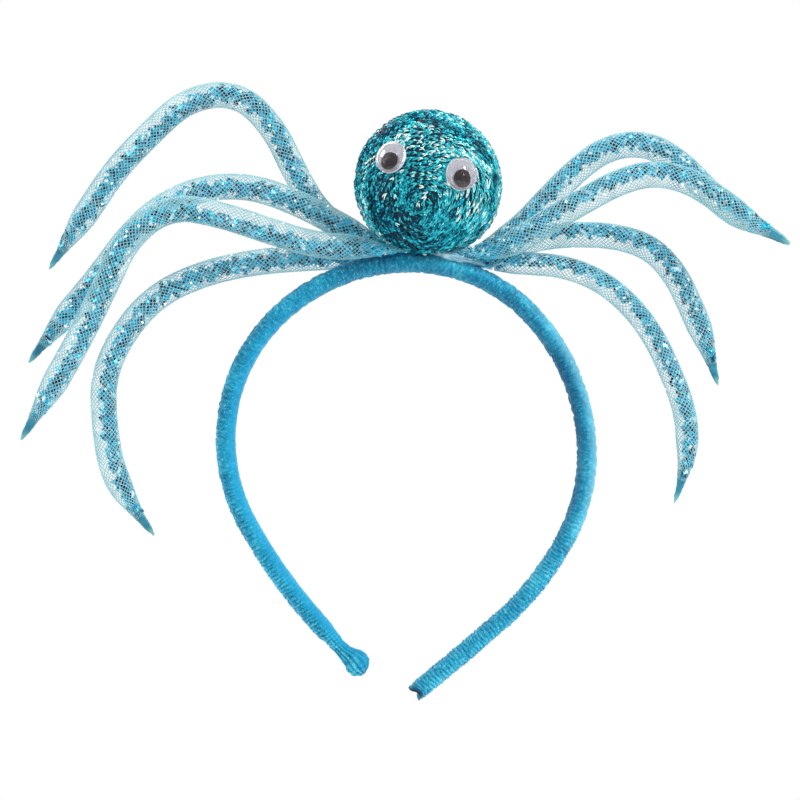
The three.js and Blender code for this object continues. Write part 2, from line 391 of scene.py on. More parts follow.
class Coat(NodeSheet):
    """A material with one principled shader."""

    def __init__(self, name: str) -> None:
        """Makes the material and its shader."""
        self.material = bpy.data.materials.new(name)
        self.material.use_nodes = True
        super().__init__(self.material.node_tree)
        self.shader = self.add("ShaderNodeBsdfPrincipled")
        self.add("ShaderNodeOutputMaterial", {"Surface": self.shader.outputs[0]})
        self.place = self.add("ShaderNodeTexCoord").outputs["Object"]

    def set(self, **values: Feed) -> None:
        """Feeds the shader's inputs, named with underscores for spaces."""
        for name, value in values.items():
            self.feed(self.shader.inputs[name.replace("_", " ")], value)

    def attribute(self, name: str) -> Socket:
        """Reads a number that the mesh holds."""
        return self.add("ShaderNodeAttribute", attribute_name=name).outputs["Fac"]

    def ramp(self, value: Feed, stops: Sequence[tuple[float, Rgba]]) -> Socket:
        """Turns a number into a colour.

        Args:
            value: The number.
            stops: Where each colour stands.

        Returns:
            The colour's socket.
        """
        node = self.add("ShaderNodeValToRGB", {"Fac": value})
        elements = node.color_ramp.elements
        while len(elements) < len(stops):
            elements.new(0.5)
        for element, (stop, colour) in zip(elements, stops):
            element.position = stop
            element.color = colour
        return node.outputs["Color"]

    def mixed(self, share: Feed, first: Feed, second: Feed) -> Socket:
        """Mixes two colours."""
        feeds = {"Factor": share, 6: first, 7: second}
        return self.add("ShaderNodeMix", feeds, data_type="RGBA").outputs[2]

    def bump(self, height: Feed, depth: float, strength: float = 1.0) -> None:
        """Lets a height stand out of the surface by a depth in metres."""
        feeds = {"Height": height, "Distance": depth, "Strength": strength}
        self.set(Normal=self.add("ShaderNodeBump", feeds).outputs[0])


@dataclass(frozen=True)
class VelvetFinish:
    """Crushed stretch velvet: painted light on the crests and the outer side, painted shade in the valleys,
    pleats, inner side and cut end's pocket, and painted glints in the pile.
    """

    # The valley colour is painted shade in the rib valleys; the crest colour is painted light on the rib
    # crests.
    valley_shade: Rgba = tone(4, 104, 142)
    pile: Rgba = tone(2, 156, 196)
    crest: Rgba = tone(82, 206, 226)
    sleek: Rgba = tone(0, 156, 204)
    # Colour of the painted shade on the inner side and on the crown under the ball.
    painted_shade: Rgba = tone(8, 72, 116)
    # Colour of the painted light on the outer side.
    painted_light: Rgba = tone(138, 212, 230)
    sparkle: Rgba = tone(150, 224, 240)
    # Colour of the painted shade in the cut end's pocket.
    hollow_shade: Rgba = tone(8, 54, 84)
    patch_scale: float = 90.0
    streak_scale: float = 480.0
    pile_scale: float = 1500.0

    def material(self) -> bpy.types.Material:
        """Makes the material."""
        coat = Coat("velvet")
        cloth = coat.add("ShaderNodeAttribute", attribute_name="cloth").outputs["Vector"]
        patch = coat.noise(coat.place, self.patch_scale, 3)
        streak = coat.noise(cloth, self.streak_scale, 2)
        fleck = coat.noise(cloth, self.pile_scale, 1)
        # Painted light on rib crests and painted shade in rib valleys and pleat folds, from the crest mask.
        fold_shading = coat.mapped(coat.attribute("crest"), 0, 1, -0.05, 0.55)
        tufts = coat.mapped(streak, 0.3, 0.7, -0.15, 0.35)
        patches = coat.mapped(patch, 0.3, 0.7, -0.2, 0.3)
        level = coat.plus(coat.plus(fold_shading, tufts), patches)
        body = coat.ramp(level, [(0.05, self.valley_shade), (0.5, self.pile), (1.0, self.crest)])
        # Painted glints: lighter flecks in the pile.
        glint = coat.times(coat.mapped(fleck, 0.58, 0.7, 0, 1), coat.mapped(streak, 0.4, 0.6, 0.25, 1))
        with_glints = coat.mixed(coat.times(glint, 0.8), body, self.sparkle)
        smoothed = coat.mixed(coat.times(coat.attribute("sleek"), 0.75), with_glints, self.sleek)
        # Painted shade on the inner side and on the crown under the ball.
        shaded = coat.mixed(coat.times(coat.attribute("painted_shade"), 0.78), smoothed, self.painted_shade)
        # Painted light on the outer side.
        lit = coat.mixed(coat.times(coat.attribute("painted_light"), 0.5), shaded, self.painted_light)
        # Painted shade in the cut end's pocket.
        colour = coat.mixed(coat.attribute("inside"), lit, self.hollow_shade)
        coat.set(Base_Color=colour, Roughness=0.7, Sheen_Weight=0.45, Sheen_Roughness=0.4)
        coat.set(Sheen_Tint=tone(190, 236, 246), Specular_IOR_Level=0.25)
        coat.bump(coat.plus(fleck, streak), 0.0002, 0.7)
        return coat.material


@dataclass(frozen=True)
class FoilFinish:
    """Metallic foil whose strips each take a level of their own on a colour ramp; on the knit and the tinsel
    the level also carries painted shade and painted glints.
    """

    name: str
    stops: tuple[tuple[float, Rgba], ...]
    roughness: float = 0.24
    metal: float = 1.0
    crinkle_scale: float = 900.0
    flicker: float = 0.1
    glow: float = 0.0
    edge: Rgba = tone(255, 255, 255)

    def material(self) -> bpy.types.Material:
        """Makes the material."""
        coat = Coat(self.name)
        crinkle = coat.noise(coat.place, self.crinkle_scale, 2)
        flicker = coat.mapped(crinkle, 0.3, 0.7, -self.flicker, self.flicker)
        # The level is each strip's tone, with painted shade and painted glints from the knit's and tinsel's
        # ramps.
        level = coat.plus(coat.attribute("tint_and_light"), flicker)
        colour = coat.ramp(level, self.stops)
        # The glow gives off a share of the foil's colour as painted light.
        coat.set(Base_Color=colour, Metallic=self.metal, Emission_Color=colour, Emission_Strength=self.glow)
        coat.set(Roughness=coat.mapped(crinkle, 0.3, 0.7, self.roughness - 0.08, self.roughness + 0.08))
        coat.set(Specular_Tint=self.edge)
        coat.bump(crinkle, 0.0001, 0.5)
        return coat.material


@dataclass(frozen=True)
class NylonFinish:
    """Pale clear nylon, as fine strands or melted into a seal."""

    name: str
    pale: Rgba
    deep: Rgba
    end: Rgba
    density: float
    # Colour of the painted shade towards the root, under the ball.
    root_shade: Rgba = tone(116, 204, 220)
    roughness: float = 0.3
    glow: float = 0.0
    cloud_scale: float = 260.0

    def material(self) -> bpy.types.Material:
        """Makes the material."""
        coat = Coat(self.name)
        cloud = coat.noise(coat.place, self.cloud_scale, 3)
        body = coat.mixed(coat.mapped(cloud, 0.35, 0.65, 0, 1), self.pale, self.deep)
        # Painted shade towards the root, where it runs under the ball.
        rooted = coat.mixed(coat.attribute("root"), body, self.root_shade)
        colour = coat.mixed(coat.attribute("inside"), rooted, self.end)
        # The glow gives off a share of the nylon's colour as painted light.
        coat.set(Base_Color=colour, Emission_Color=colour, Emission_Strength=self.glow)
        coat.set(Roughness=coat.mapped(cloud, 0.3, 0.7, self.roughness - 0.07, self.roughness + 0.07))
        coat.set(Alpha=self.density, IOR=1.45, Sheen_Weight=0.5, Sheen_Roughness=0.5)
        coat.bump(cloud, 0.0002, 0.3)
        return coat.material


@dataclass(frozen=True)
class PlasticFinish:
    """Moulded plastic, with faint clouds and fine scratches."""

    name: str
    colour: Rgba
    shade: Rgba
    roughness: float
    clearness: float = 0.0
    refraction: float = 1.45
    cloud_scale: float = 500.0
    relief: float = 0.00003
    gloss: float = 0.0

    def material(self) -> bpy.types.Material:
        """Makes the material."""
        coat = Coat(self.name)
        cloud = coat.noise(coat.place, self.cloud_scale, 4)
        share = coat.mapped(cloud, 0.3, 0.7, 0, 1)
        coat.set(Base_Color=coat.mixed(share, self.colour, self.shade), IOR=self.refraction)
        low = max(self.roughness - 0.04, 0.0)
        coat.set(Roughness=coat.mapped(cloud, 0.3, 0.7, low, self.roughness + 0.04))
        coat.set(Transmission_Weight=self.clearness, Coat_Weight=self.gloss, Coat_IOR=1.6)
        coat.bump(cloud, self.relief, 0.15)
        return coat.material


# Knit foil: the low navy stop is painted shade in the gaps, the top stop painted glints, and the glow
# painted light.
KNIT_FOIL = FoilFinish(
    "knit_foil",
    (
        (0.0, tone(6, 48, 72)), (0.16, tone(10, 110, 134)), (0.42, tone(26, 172, 190)),
        (0.84, tone(84, 214, 220)), (0.95, tone(226, 252, 248)),
    ),
    metal=0.5,
    crinkle_scale=1500.0,
    flicker=0.3,
    glow=0.16,
    edge=tone(150, 226, 230),
)
# Tinsel foil: the navy stops are painted shade and dark reflections, the top stop painted glints, and the
# glow painted light.
TINSEL_FOIL = FoilFinish(
    "tinsel_foil",
    (
        (0.0, tone(2, 22, 48)), (0.27, tone(0, 60, 92)), (0.36, tone(2, 150, 188)),
        (0.86, tone(36, 202, 230)), (0.98, tone(236, 252, 255)),
    ),
    metal=0.4,
    glow=0.17,
)
# The glitter's glow is painted light.
SILVER_FOIL = FoilFinish(
    "silver_glitter", ((0.0, tone(236, 240, 244)), (1.0, tone(255, 255, 255))), roughness=0.16, metal=0.3,
    glow=0.45,
)
# The net's glow is painted light.
NET_NYLON = NylonFinish(
    "net_nylon", tone(190, 234, 238), tone(160, 216, 224), tone(180, 224, 228), 0.52, glow=0.06,
)
SEAL_NYLON = NylonFinish("sealed_nylon", tone(12, 112, 140), tone(40, 144, 168), tone(134, 210, 204), 1.0)
FOAM = PlasticFinish("ball_foam", tone(8, 56, 78), tone(4, 34, 54), 0.7)
EYE_WHITE = PlasticFinish("eye_white", tone(220, 219, 227), tone(208, 208, 218), 0.35)
CLEAR_DOME = PlasticFinish(
    "clear_dome", tone(252, 252, 254), tone(250, 250, 252), 0.02, 1.0, 1.2, relief=0.000002, gloss=0.4,
)
PUPIL_BLACK = PlasticFinish("pupil_black", tone(46, 30, 32), tone(34, 22, 26), 0.3, refraction=1.2)
HOT_GLUE = PlasticFinish("hot_glue", tone(196, 240, 252), tone(112, 204, 236), 0.06, 0.2, 1.45, gloss=1.0)
FLOOR_PAPER = PlasticFinish("floor_paper", tone(240, 241, 242), tone(236, 238, 240), 0.8, cloud_scale=20.0)


# Shapes that repeat or follow a line


def skin_recipe() -> Recipe:
    """Makes the tree for a skin of oval sections along a rail, gathered into ribs across and pleats along.

    Returns:
        The tree. Its rail holds along, depth_axis, height_axis, gather, pleat, sleek, notch, the painted
        shade amount and inside for each station. The skin keeps the crest mask (painted light on rib crests,
        painted shade in rib valleys and pleat folds), cloth, a painted shade mask for the inner side, a
        painted light mask for the outer side, sleek and inside (painted shade in the velvet's cut end, the
        seal's paler tip) for its material.
    """
    tree = Recipe(
        "gathered_skin",
        {
            "Stations": int, "Sides": int, "Rib Pitch": float, "Rib Height": float, "Wander": float,
            "Pleats": float, "Pleat Height": float, "Lump Height": float,
        },
    )
    given = tree.given
    columns = tree.plus(given["Sides"], 1)
    feeds = {"Vertices X": given["Stations"], "Vertices Y": columns}
    grid = tree.add("GeometryNodeMeshGrid", feeds).outputs["Mesh"]
    index = tree.add("GeometryNodeInputIndex").outputs[0]
    ring = tree.sum("FLOOR", tree.over(tree.plus(index, 0.5), columns))
    turn = tree.minus(index, tree.times(ring, columns))
    angle = tree.over(tree.times(turn, math.tau), given["Sides"])

    def station(value: Feed, kind: str = "FLOAT") -> Socket:
        """Reads a fact of the rail's station that a ring belongs to."""
        feeds = {"Geometry": given["Rail"], "Value": value, "Index": ring}
        return tree.add("GeometryNodeSampleIndex", feeds, data_type=kind).outputs[0]

    centre = station(tree.add("GeometryNodeInputPosition").outputs[0], "FLOAT_VECTOR")
    depth = station(tree.axis("depth_axis"), "FLOAT_VECTOR")
    height = station(tree.axis("height_axis"), "FLOAT_VECTOR")
    along = station(tree.attribute("along"))
    gather = station(tree.attribute("gather"))
    pleat = station(tree.attribute("pleat"))
    arm = tree.oval(depth, height, angle)
    spot = tree.added(centre, arm)
    drift = tree.times(tree.minus(tree.noise(spot, 160, 2), 0.5), given["Wander"])
    phase = tree.plus(tree.over(along, given["Rib Pitch"]), drift)
    wave = tree.absolute(tree.sine(tree.times(phase, math.pi)))
    crest = tree.sum("POWER", wave, 0.75)
    uneven = tree.mapped(tree.noise(spot, 420, 1), 0.3, 0.7, 0.2, 1.5)
    edge = tree.mapped(tree.absolute(tree.sine(angle)), 0.7, 1, 0.7, 1.3)
    inner = tree.mapped(tree.sine(angle), -0.4, 0.1, 1, 0)
    sleek = tree.times(inner, station(tree.attribute("sleek")))
    strength = tree.times(tree.times(uneven, edge), tree.mapped(sleek, 0, 1, 1, 0.08))
    rib = tree.times(tree.times(given["Rib Height"], gather), strength)
    bumps = tree.mapped(tree.noise(spot, 620, 1), 0.36, 0.64, -1, 0)
    rim = tree.mapped(tree.absolute(tree.sine(angle)), 0.6, 0.95, 0.4, 1)
    lumpy = tree.times(tree.mapped(sleek, 0, 1, 1, 0.3), tree.mapped(pleat, 0, 1, 1, 2.2))
    lump_height = tree.times(given["Lump Height"], lumpy)
    lump = tree.times(tree.times(bumps, rim), lump_height)
    rib_drop = tree.plus(tree.times(rib, tree.minus(crest, 1)), lump)
    fold = tree.times(tree.times(angle, 0.5), given["Pleats"])
    fold_wave = tree.absolute(tree.sine(tree.plus(fold, drift)))
    fold_depth = tree.times(given["Pleat Height"], pleat)
    fold_drop = tree.times(fold_depth, tree.minus(fold_wave, 1))
    drop = tree.scaled(tree.vector("NORMALIZE", arm), tree.plus(rib_drop, fold_drop))
    cloth = tree.joined(
        tree.times(along, 2.5), tree.times(tree.cosine(angle), 0.004), tree.times(tree.sine(angle), 0.004),
    )
    # The crest mask for the material: painted light on rib crests, painted shade in rib valleys and pleat
    # folds.
    flat = tree.times(tree.minus(1, gather, clamp=True), 0.5)
    rib_shading = tree.plus(tree.times(crest, tree.sum("MINIMUM", gather, 1)), flat)
    pleat_shading = tree.times(tree.minus(fold_wave, 0.7), tree.times(pleat, 1.4))
    crease_shading = tree.plus(rib_shading, pleat_shading)
    skin = tree.stored(tree.stored(grid, "crest", crease_shading), "cloth", cloth, "FLOAT_VECTOR")
    # Painted shade on the inner side, and painted light on the outer side where the station's amount passes
    # one half.
    under = tree.mapped(tree.sine(angle), -0.85, 0.35, 1, 0)
    painted_shade = station(tree.attribute("painted_shade"))
    skin = tree.stored(skin, "painted_shade", tree.times(under, painted_shade))
    # Painted light on the outer side.
    over = tree.mapped(tree.sine(angle), 0.0, 0.85, 0, 1)
    skin = tree.stored(skin, "painted_light", tree.times(over, tree.mapped(painted_shade, 0.5, 0.9, 0, 1)))
    skin = tree.stored(skin, "sleek", sleek)
    front = tree.mapped(tree.absolute(tree.sine(angle)), 0.5, 0.95, 1, 0.3)
    skin = tree.stored(skin, "inside", tree.times(front, station(tree.attribute("inside"))))
    ahead = tree.vector("NORMALIZE", tree.vector("CROSS_PRODUCT", height, depth))
    facing = tree.cosine(tree.minus(angle, 0.25))
    dent = tree.times(station(tree.attribute("notch")), tree.sum("POWER", facing, 4))
    skin = tree.moved(skin, tree.added(spot, drop, tree.scaled(ahead, dent)))
    welded = tree.add("GeometryNodeMergeByDistance", {"Geometry": skin, "Distance": 0.00001}).outputs[0]
    tree.close(welded)
    return tree


def net_recipe() -> Recipe:
    """Makes the tree for a tube of crossing strands along a rail.

    Returns:
        The tree. Its rail holds along, depth_axis, height_axis, fineness and root for each station.
    """
    tree = Recipe("net_tube", {"Strands": int, "Twist": float, "Strand Radius": float, "Slack": float})
    given = tree.given
    curve = tree.add("GeometryNodeMeshToCurve", {"Mesh": given["Rail"]}).outputs[0]
    feeds = {"Geometry": curve, "Amount": tree.times(given["Strands"], 2)}
    copies = tree.add("GeometryNodeDuplicateElements", feeds, domain="SPLINE")
    number = copies.outputs["Duplicate Index"]
    way = tree.minus(tree.times(tree.less(number, given["Strands"]), 2), 1)
    start = tree.over(tree.times(number, math.tau), given["Strands"])
    turned = tree.times(tree.times(tree.attribute("along"), given["Twist"]), way)
    place = tree.add("GeometryNodeInputPosition").outputs[0]
    wobble = tree.times(tree.minus(tree.noise(place, 120, 1), 0.5), given["Slack"])
    angle = tree.plus(tree.plus(start, turned), wobble)
    arm = tree.oval(tree.axis("depth_axis"), tree.axis("height_axis"), angle)
    inward = tree.times(given["Strand Radius"], tree.minus(tree.times(way, 0.4), 1.4))
    spot = tree.added(place, arm, tree.scaled(tree.vector("NORMALIZE", arm), inward))
    strands = tree.moved(copies.outputs["Geometry"], spot)
    odd = tree.sum("MODULO", number, 2)
    uneven = tree.sum("FRACT", tree.times(number, 0.618))
    gone = tree.plus(0.55, tree.times(uneven, 0.3))
    spare = tree.times(odd, tree.sum("GREATER_THAN", tree.attribute("root"), gone))
    feeds = {"Geometry": strands, "Selection": spare}
    strands = tree.add("GeometryNodeDeleteGeometry", feeds, domain="POINT").outputs[0]
    feeds = {"Curve": strands, "Radius": tree.attribute("fineness")}
    strands = tree.add("GeometryNodeSetCurveRadius", feeds).outputs[0]
    feeds = {"Resolution": 4, "Radius": given["Strand Radius"]}
    thread = tree.add("GeometryNodeCurvePrimitiveCircle", feeds, mode="RADIUS").outputs["Curve"]
    feeds = {"Curve": strands, "Profile Curve": thread, "Fill Caps": True}
    tree.close(tree.add("GeometryNodeCurveToMesh", feeds).outputs[0])
    return tree


def tinsel_recipe() -> Recipe:
    """Makes the tree for a garland of foil slivers along a rail, pressed back inside the tube around it.

    Returns:
        The tree. Its rail holds along, ahead, depth_axis, height_axis, core, core_half and fineness for each
        station.
    """
    tree = Recipe(
        "tinsel_garland",
        {
            "Per Station": int, "Station Step": float, "Length": float, "Width": float, "Clump": float,
            "Coil": float, "Sway": float, "Limit": float,
        },
    )
    given = tree.given
    points = tree.add("GeometryNodeMeshToPoints", {"Mesh": given["Rail"]}).outputs[0]
    feeds = {"Geometry": points, "Amount": given["Per Station"]}
    copies = tree.add("GeometryNodeDuplicateElements", feeds, domain="POINT").outputs["Geometry"]
    ahead = tree.axis("ahead")
    depth = tree.axis("depth_axis")
    height = tree.axis("height_axis")
    place = tree.add("GeometryNodeInputPosition").outputs[0]
    slide = tree.times(tree.chance(-0.5, 0.5, 1), given["Station Step"])
    slid = tree.moved(copies, tree.added(place, tree.scaled(ahead, slide)))
    based = tree.stored(slid, "centre", place, "FLOAT_VECTOR")

    angle = tree.chance(0, math.tau, 2)
    unit_depth = tree.vector("NORMALIZE", depth)
    unit_height = tree.vector("NORMALIZE", height)
    radial = tree.oval(unit_depth, unit_height, angle)
    across = tree.vector("CROSS_PRODUCT", radial, ahead)
    along = tree.plus(tree.attribute("along"), slide)
    drift = tree.times(tree.minus(tree.noise(place, 90, 1), 0.5), 1.6)
    clump = tree.sum("FRACT", tree.plus(tree.over(along, given["Clump"]), drift))
    swell = tree.mapped(clump, 0, 1, 0.6, 1.15)
    share = tree.sum("SQRT", tree.chance(0.04, 1, 3))
    core_half = tree.attribute("core_half")
    reach = tree.times(tree.times(core_half, swell), share)
    coil = tree.times(tree.plus(tree.over(along, given["Coil"]), drift), math.tau)
    sway = tree.times(core_half, given["Sway"])
    aside = tree.added(
        tree.scaled(unit_height, tree.times(tree.sine(coil), sway)),
        tree.scaled(unit_depth, tree.times(tree.cosine(coil), sway)),
    )
    spot = tree.added(place, tree.axis("core"), tree.scaled(radial, reach), aside)
    spread_points = tree.moved(based, spot)
    lean = tree.added(
        tree.scaled(radial, tree.chance(-0.3, 0.5, 4)),
        tree.scaled(ahead, tree.chance(-1, 1, 5)),
        tree.scaled(across, tree.chance(-0.8, 0.8, 6)),
    )
    facing = tree.added(
        tree.scaled(radial, tree.chance(0.5, 1, 7)),
        tree.scaled(ahead, tree.chance(-0.6, 0.6, 8)),
        tree.scaled(across, tree.chance(-0.6, 0.6, 9)),
    )
    turn = tree.turned("X", lean, "Z", facing)
    feeds = {"Size X": given["Length"], "Size Y": given["Width"], "Vertices X": 3, "Vertices Y": 2}
    flat = tree.add("GeometryNodeMeshGrid", feeds).outputs["Mesh"]
    along_sliver = tree.add("ShaderNodeSeparateXYZ", {0: place}).outputs["X"]
    bow = tree.times(tree.sum("POWER", tree.over(along_sliver, given["Length"]), 2), -0.001)
    bent = tree.moved(flat, tree.added(place, tree.joined(0.0, 0.0, bow)))
    hair = tree.less(tree.chance(0, 1, 13), 0.04)
    longer = tree.plus(tree.chance(0.6, 1.3, 10), tree.times(hair, 1.4))
    thinner = tree.times(tree.chance(0.7, 1.3, 11), tree.mapped(hair, 0, 1, 1, 0.25))
    size = tree.joined(longer, thinner, 1.0)
    feeds = {"Points": spread_points, "Instance": bent, "Rotation": turn, "Scale": size}
    slivers = tree.add("GeometryNodeInstanceOnPoints", feeds).outputs[0]
    # A random level: its low end is painted shade and dark reflections, its high end painted glints.
    patch = tree.mapped(tree.noise(place, 420, 1), 0.3, 0.7, -0.2, 0.2)
    tint_and_light = tree.plus(tree.chance(0.06, 0.98, 12), patch, clamp=True)
    tinted = tree.stored(slivers, "tint_and_light", tint_and_light, domain="INSTANCE")
    real = tree.add("GeometryNodeRealizeInstances", {0: tinted}).outputs[0]

    centre = tree.axis("centre")
    offset = tree.vector("SUBTRACT", place, centre)

    def part_along(axis: Socket) -> Socket:
        """How far a point lies along an axis of the tube, as a share of the tube's half width."""
        reached = tree.vector("DOT_PRODUCT", offset, axis)
        return tree.over(reached, tree.vector("DOT_PRODUCT", axis, axis))

    deep = part_along(depth)
    high = part_along(height)
    out = tree.sum("SQRT", tree.plus(tree.sum("POWER", deep, 2), tree.sum("POWER", high, 2)))
    loose = tree.mapped(tree.attribute("fineness"), 0.3, 1, 0.16, 0)
    limit = tree.plus(given["Limit"], loose)
    held = tree.minus(tree.sum("MINIMUM", tree.over(limit, out), 1), 1)
    arm = tree.added(tree.scaled(depth, deep), tree.scaled(height, high))
    tree.close(tree.moved(real, tree.added(place, tree.scaled(arm, held))), smooth=False)
    return tree


def glitter_recipe() -> Recipe:
    """Makes the tree for glitter dots scattered over a tube along a rail.

    Returns:
        The tree. Its rail holds ahead, depth_axis and height_axis for each station.
    """
    tree = Recipe("glitter_dots", {"Share": float, "Dot Radius": float, "Seed": int})
    given = tree.given
    points = tree.add("GeometryNodeMeshToPoints", {"Mesh": given["Rail"]}).outputs[0]
    draw = tree.chance(0.0, 1.0, given["Seed"])
    angle = tree.chance(0.0, math.tau, tree.plus(given["Seed"], 1))
    arm = tree.oval(tree.axis("depth_axis"), tree.axis("height_axis"), angle)
    place = tree.add("GeometryNodeInputPosition").outputs[0]
    spread_points = tree.moved(points, tree.added(place, tree.scaled(arm, 0.95)))
    feeds = {"Radius": given["Dot Radius"], "Subdivisions": 2}
    bead = tree.add("GeometryNodeMeshIcoSphere", feeds).outputs[0]
    turn = tree.turned("Z", arm, "X", tree.axis("ahead"))
    size = tree.joined(tree.chance(0.7, 1.2, 4), tree.chance(0.7, 1.2, 5), 0.6)
    feeds = {
        "Points": spread_points, "Selection": tree.less(draw, given["Share"]),
        "Instance": bead, "Rotation": turn, "Scale": size,
    }
    dots = tree.add("GeometryNodeInstanceOnPoints", feeds).outputs[0]
    tree.close(tree.stored(dots, "tint_and_light", tree.chance(0, 1, 6), domain="INSTANCE"), smooth=False)
    return tree


def knit_recipe() -> Recipe:
    """Makes the tree that lays stitches in a spiral over a ball.

    Returns:
        The tree. Its rail is the mesh of one stitch: X along the row, Y up the column, Z off the ball.
    """
    tree = Recipe(
        "knitted_ball",
        {
            "Stitches": int, "Ball Radius": float, "Row Pitch": float, "Centre X": float, "Centre Z": float,
            "Row Slope": float, "Stretch": float, "Flat Below": float, "Flat Half Depth": float,
        },
    )
    given = tree.given
    index = tree.add("GeometryNodeInputIndex").outputs[0]
    share = tree.over(tree.plus(index, 0.5), given["Stitches"])
    polar = tree.sum("ARCCOSINE", tree.minus(1, tree.times(share, 2)))
    rounds = tree.over(tree.times(given["Ball Radius"], math.tau), given["Row Pitch"])
    swing = tree.times(polar, rounds)
    sine = tree.sine(polar)
    upright = tree.joined(
        tree.times(sine, tree.cosine(swing)), tree.times(sine, tree.sine(swing)), tree.cosine(polar),
    )

    def tipped(vector: Feed) -> Socket:
        """Leans a vector by the rows' slope."""
        feeds = {"Vector": vector, "Angle": given["Row Slope"]}
        return tree.add("ShaderNodeVectorRotate", feeds, rotation_type="X_AXIS").outputs[0]

    feeds = {"Vector": tipped(upright), "Scale": 1.7, "Detail": 1.0}
    stray = tree.vector("SUBTRACT", tree.add("ShaderNodeTexNoise", feeds).outputs["Color"], (0.5, 0.5, 0.5))
    outward = tree.vector("NORMALIZE", tree.added(tipped(upright), tree.scaled(stray, 0.75)))
    row = tree.vector("CROSS_PRODUCT", tipped((0.0, 0.0, 1.0)), outward)

    def towards(way: tuple[float, float, float], low: float, high: float, most: float) -> Socket:
        """Rises from 0 to the most where a stitch faces a way."""
        return tree.mapped(tree.vector("DOT_PRODUCT", outward, way), low, high, 0, most)

    # pull also paints light on the stretched strands, and shade paints shade on the lower left.
    pull = towards((0.83, -0.5, -0.15), 0.72, 0.95, 1)
    shade = towards((-0.6, -0.3, -0.74), 0.15, 1, 0.42)
    loose = tree.mapped(shade, 0, 0.3, 1.3, 3.4)
    bend = tree.times(tree.minus(tree.noise(outward, 2.8, 2), 0.5), loose)
    feeds = {"Vector": row, "Axis": outward, "Angle": bend}
    bent = tree.add("ShaderNodeVectorRotate", feeds, rotation_type="AXIS_ANGLE").outputs[0]
    foot = towards((0.42, -0.65, -0.63), 0.82, 0.95, 1)
    upwards = tree.scaled((0.35, 0.0, 0.94), foot)
    along = tree.added(tree.scaled(bent, tree.minus(1, foot)), upwards)
    centre = tree.joined(given["Centre X"], 0.0, given["Centre Z"])
    bulge = towards((0.78, -0.15, -0.6), 0.8, 1, 0.0008)
    rough = tree.plus(bulge, tree.chance(-0.00025, 0.00035, 7))
    stand = tree.plus(given["Ball Radius"], rough)
    spot = tree.added(centre, tree.scaled(outward, stand))
    points = tree.add("GeometryNodePoints", {"Count": given["Stitches"], "Position": spot}).outputs[0]
    parts = tree.add("ShaderNodeSeparateXYZ", {0: tree.add("GeometryNodeInputPosition").outputs[0]}).outputs
    low = tree.less(parts["Z"], given["Flat Below"])
    middle = tree.less(tree.absolute(parts["Y"]), given["Flat Half Depth"])
    turn = tree.turned("Z", outward, "X", along)
    tilt = tree.joined(tree.chance(-0.5, 0.5, 1), tree.chance(-0.35, 0.35, 2), tree.chance(-0.35, 0.35, 3))
    tilted = tree.add("FunctionNodeEulerToRotation", {0: tilt}).outputs[0]
    feeds = {"Rotation": turn, "Rotate By": tilted}
    turn = tree.add("FunctionNodeRotateRotation", feeds, rotation_space="LOCAL").outputs[0]
    stretch = tree.times(tree.sum("MAXIMUM", pull, foot), given["Stretch"])
    longer = tree.plus(tree.chance(0.8, 1.2, 4), stretch)
    size = tree.joined(longer, tree.chance(0.85, 1.15, 5), 1.0)
    feeds = {
        "Points": points, "Selection": tree.minus(1, tree.times(low, middle)),
        "Instance": given["Rail"], "Rotation": turn, "Scale": size,
    }
    stitches = tree.add("GeometryNodeInstanceOnPoints", feeds).outputs[0]
    # Painted light towards the upper right and on the pulled strands, painted shade on the lower left and
    # painted glints on a few stitches, all kept in the stitch's level.
    shine = towards((0.5, -0.4, 0.77), -0.1, 0.8, 0.17)
    light = tree.plus(tree.chance(0.18, 0.88, 6), tree.plus(shine, tree.times(pull, 0.12)))
    glint = tree.times(tree.sum("GREATER_THAN", tree.chance(0, 1, 8), 0.965), 0.6)
    glow = tree.plus(tree.minus(light, shade), glint)
    tree.close(tree.stored(stitches, "tint_and_light", glow, domain="INSTANCE"), smooth=False)
    return tree


# The band


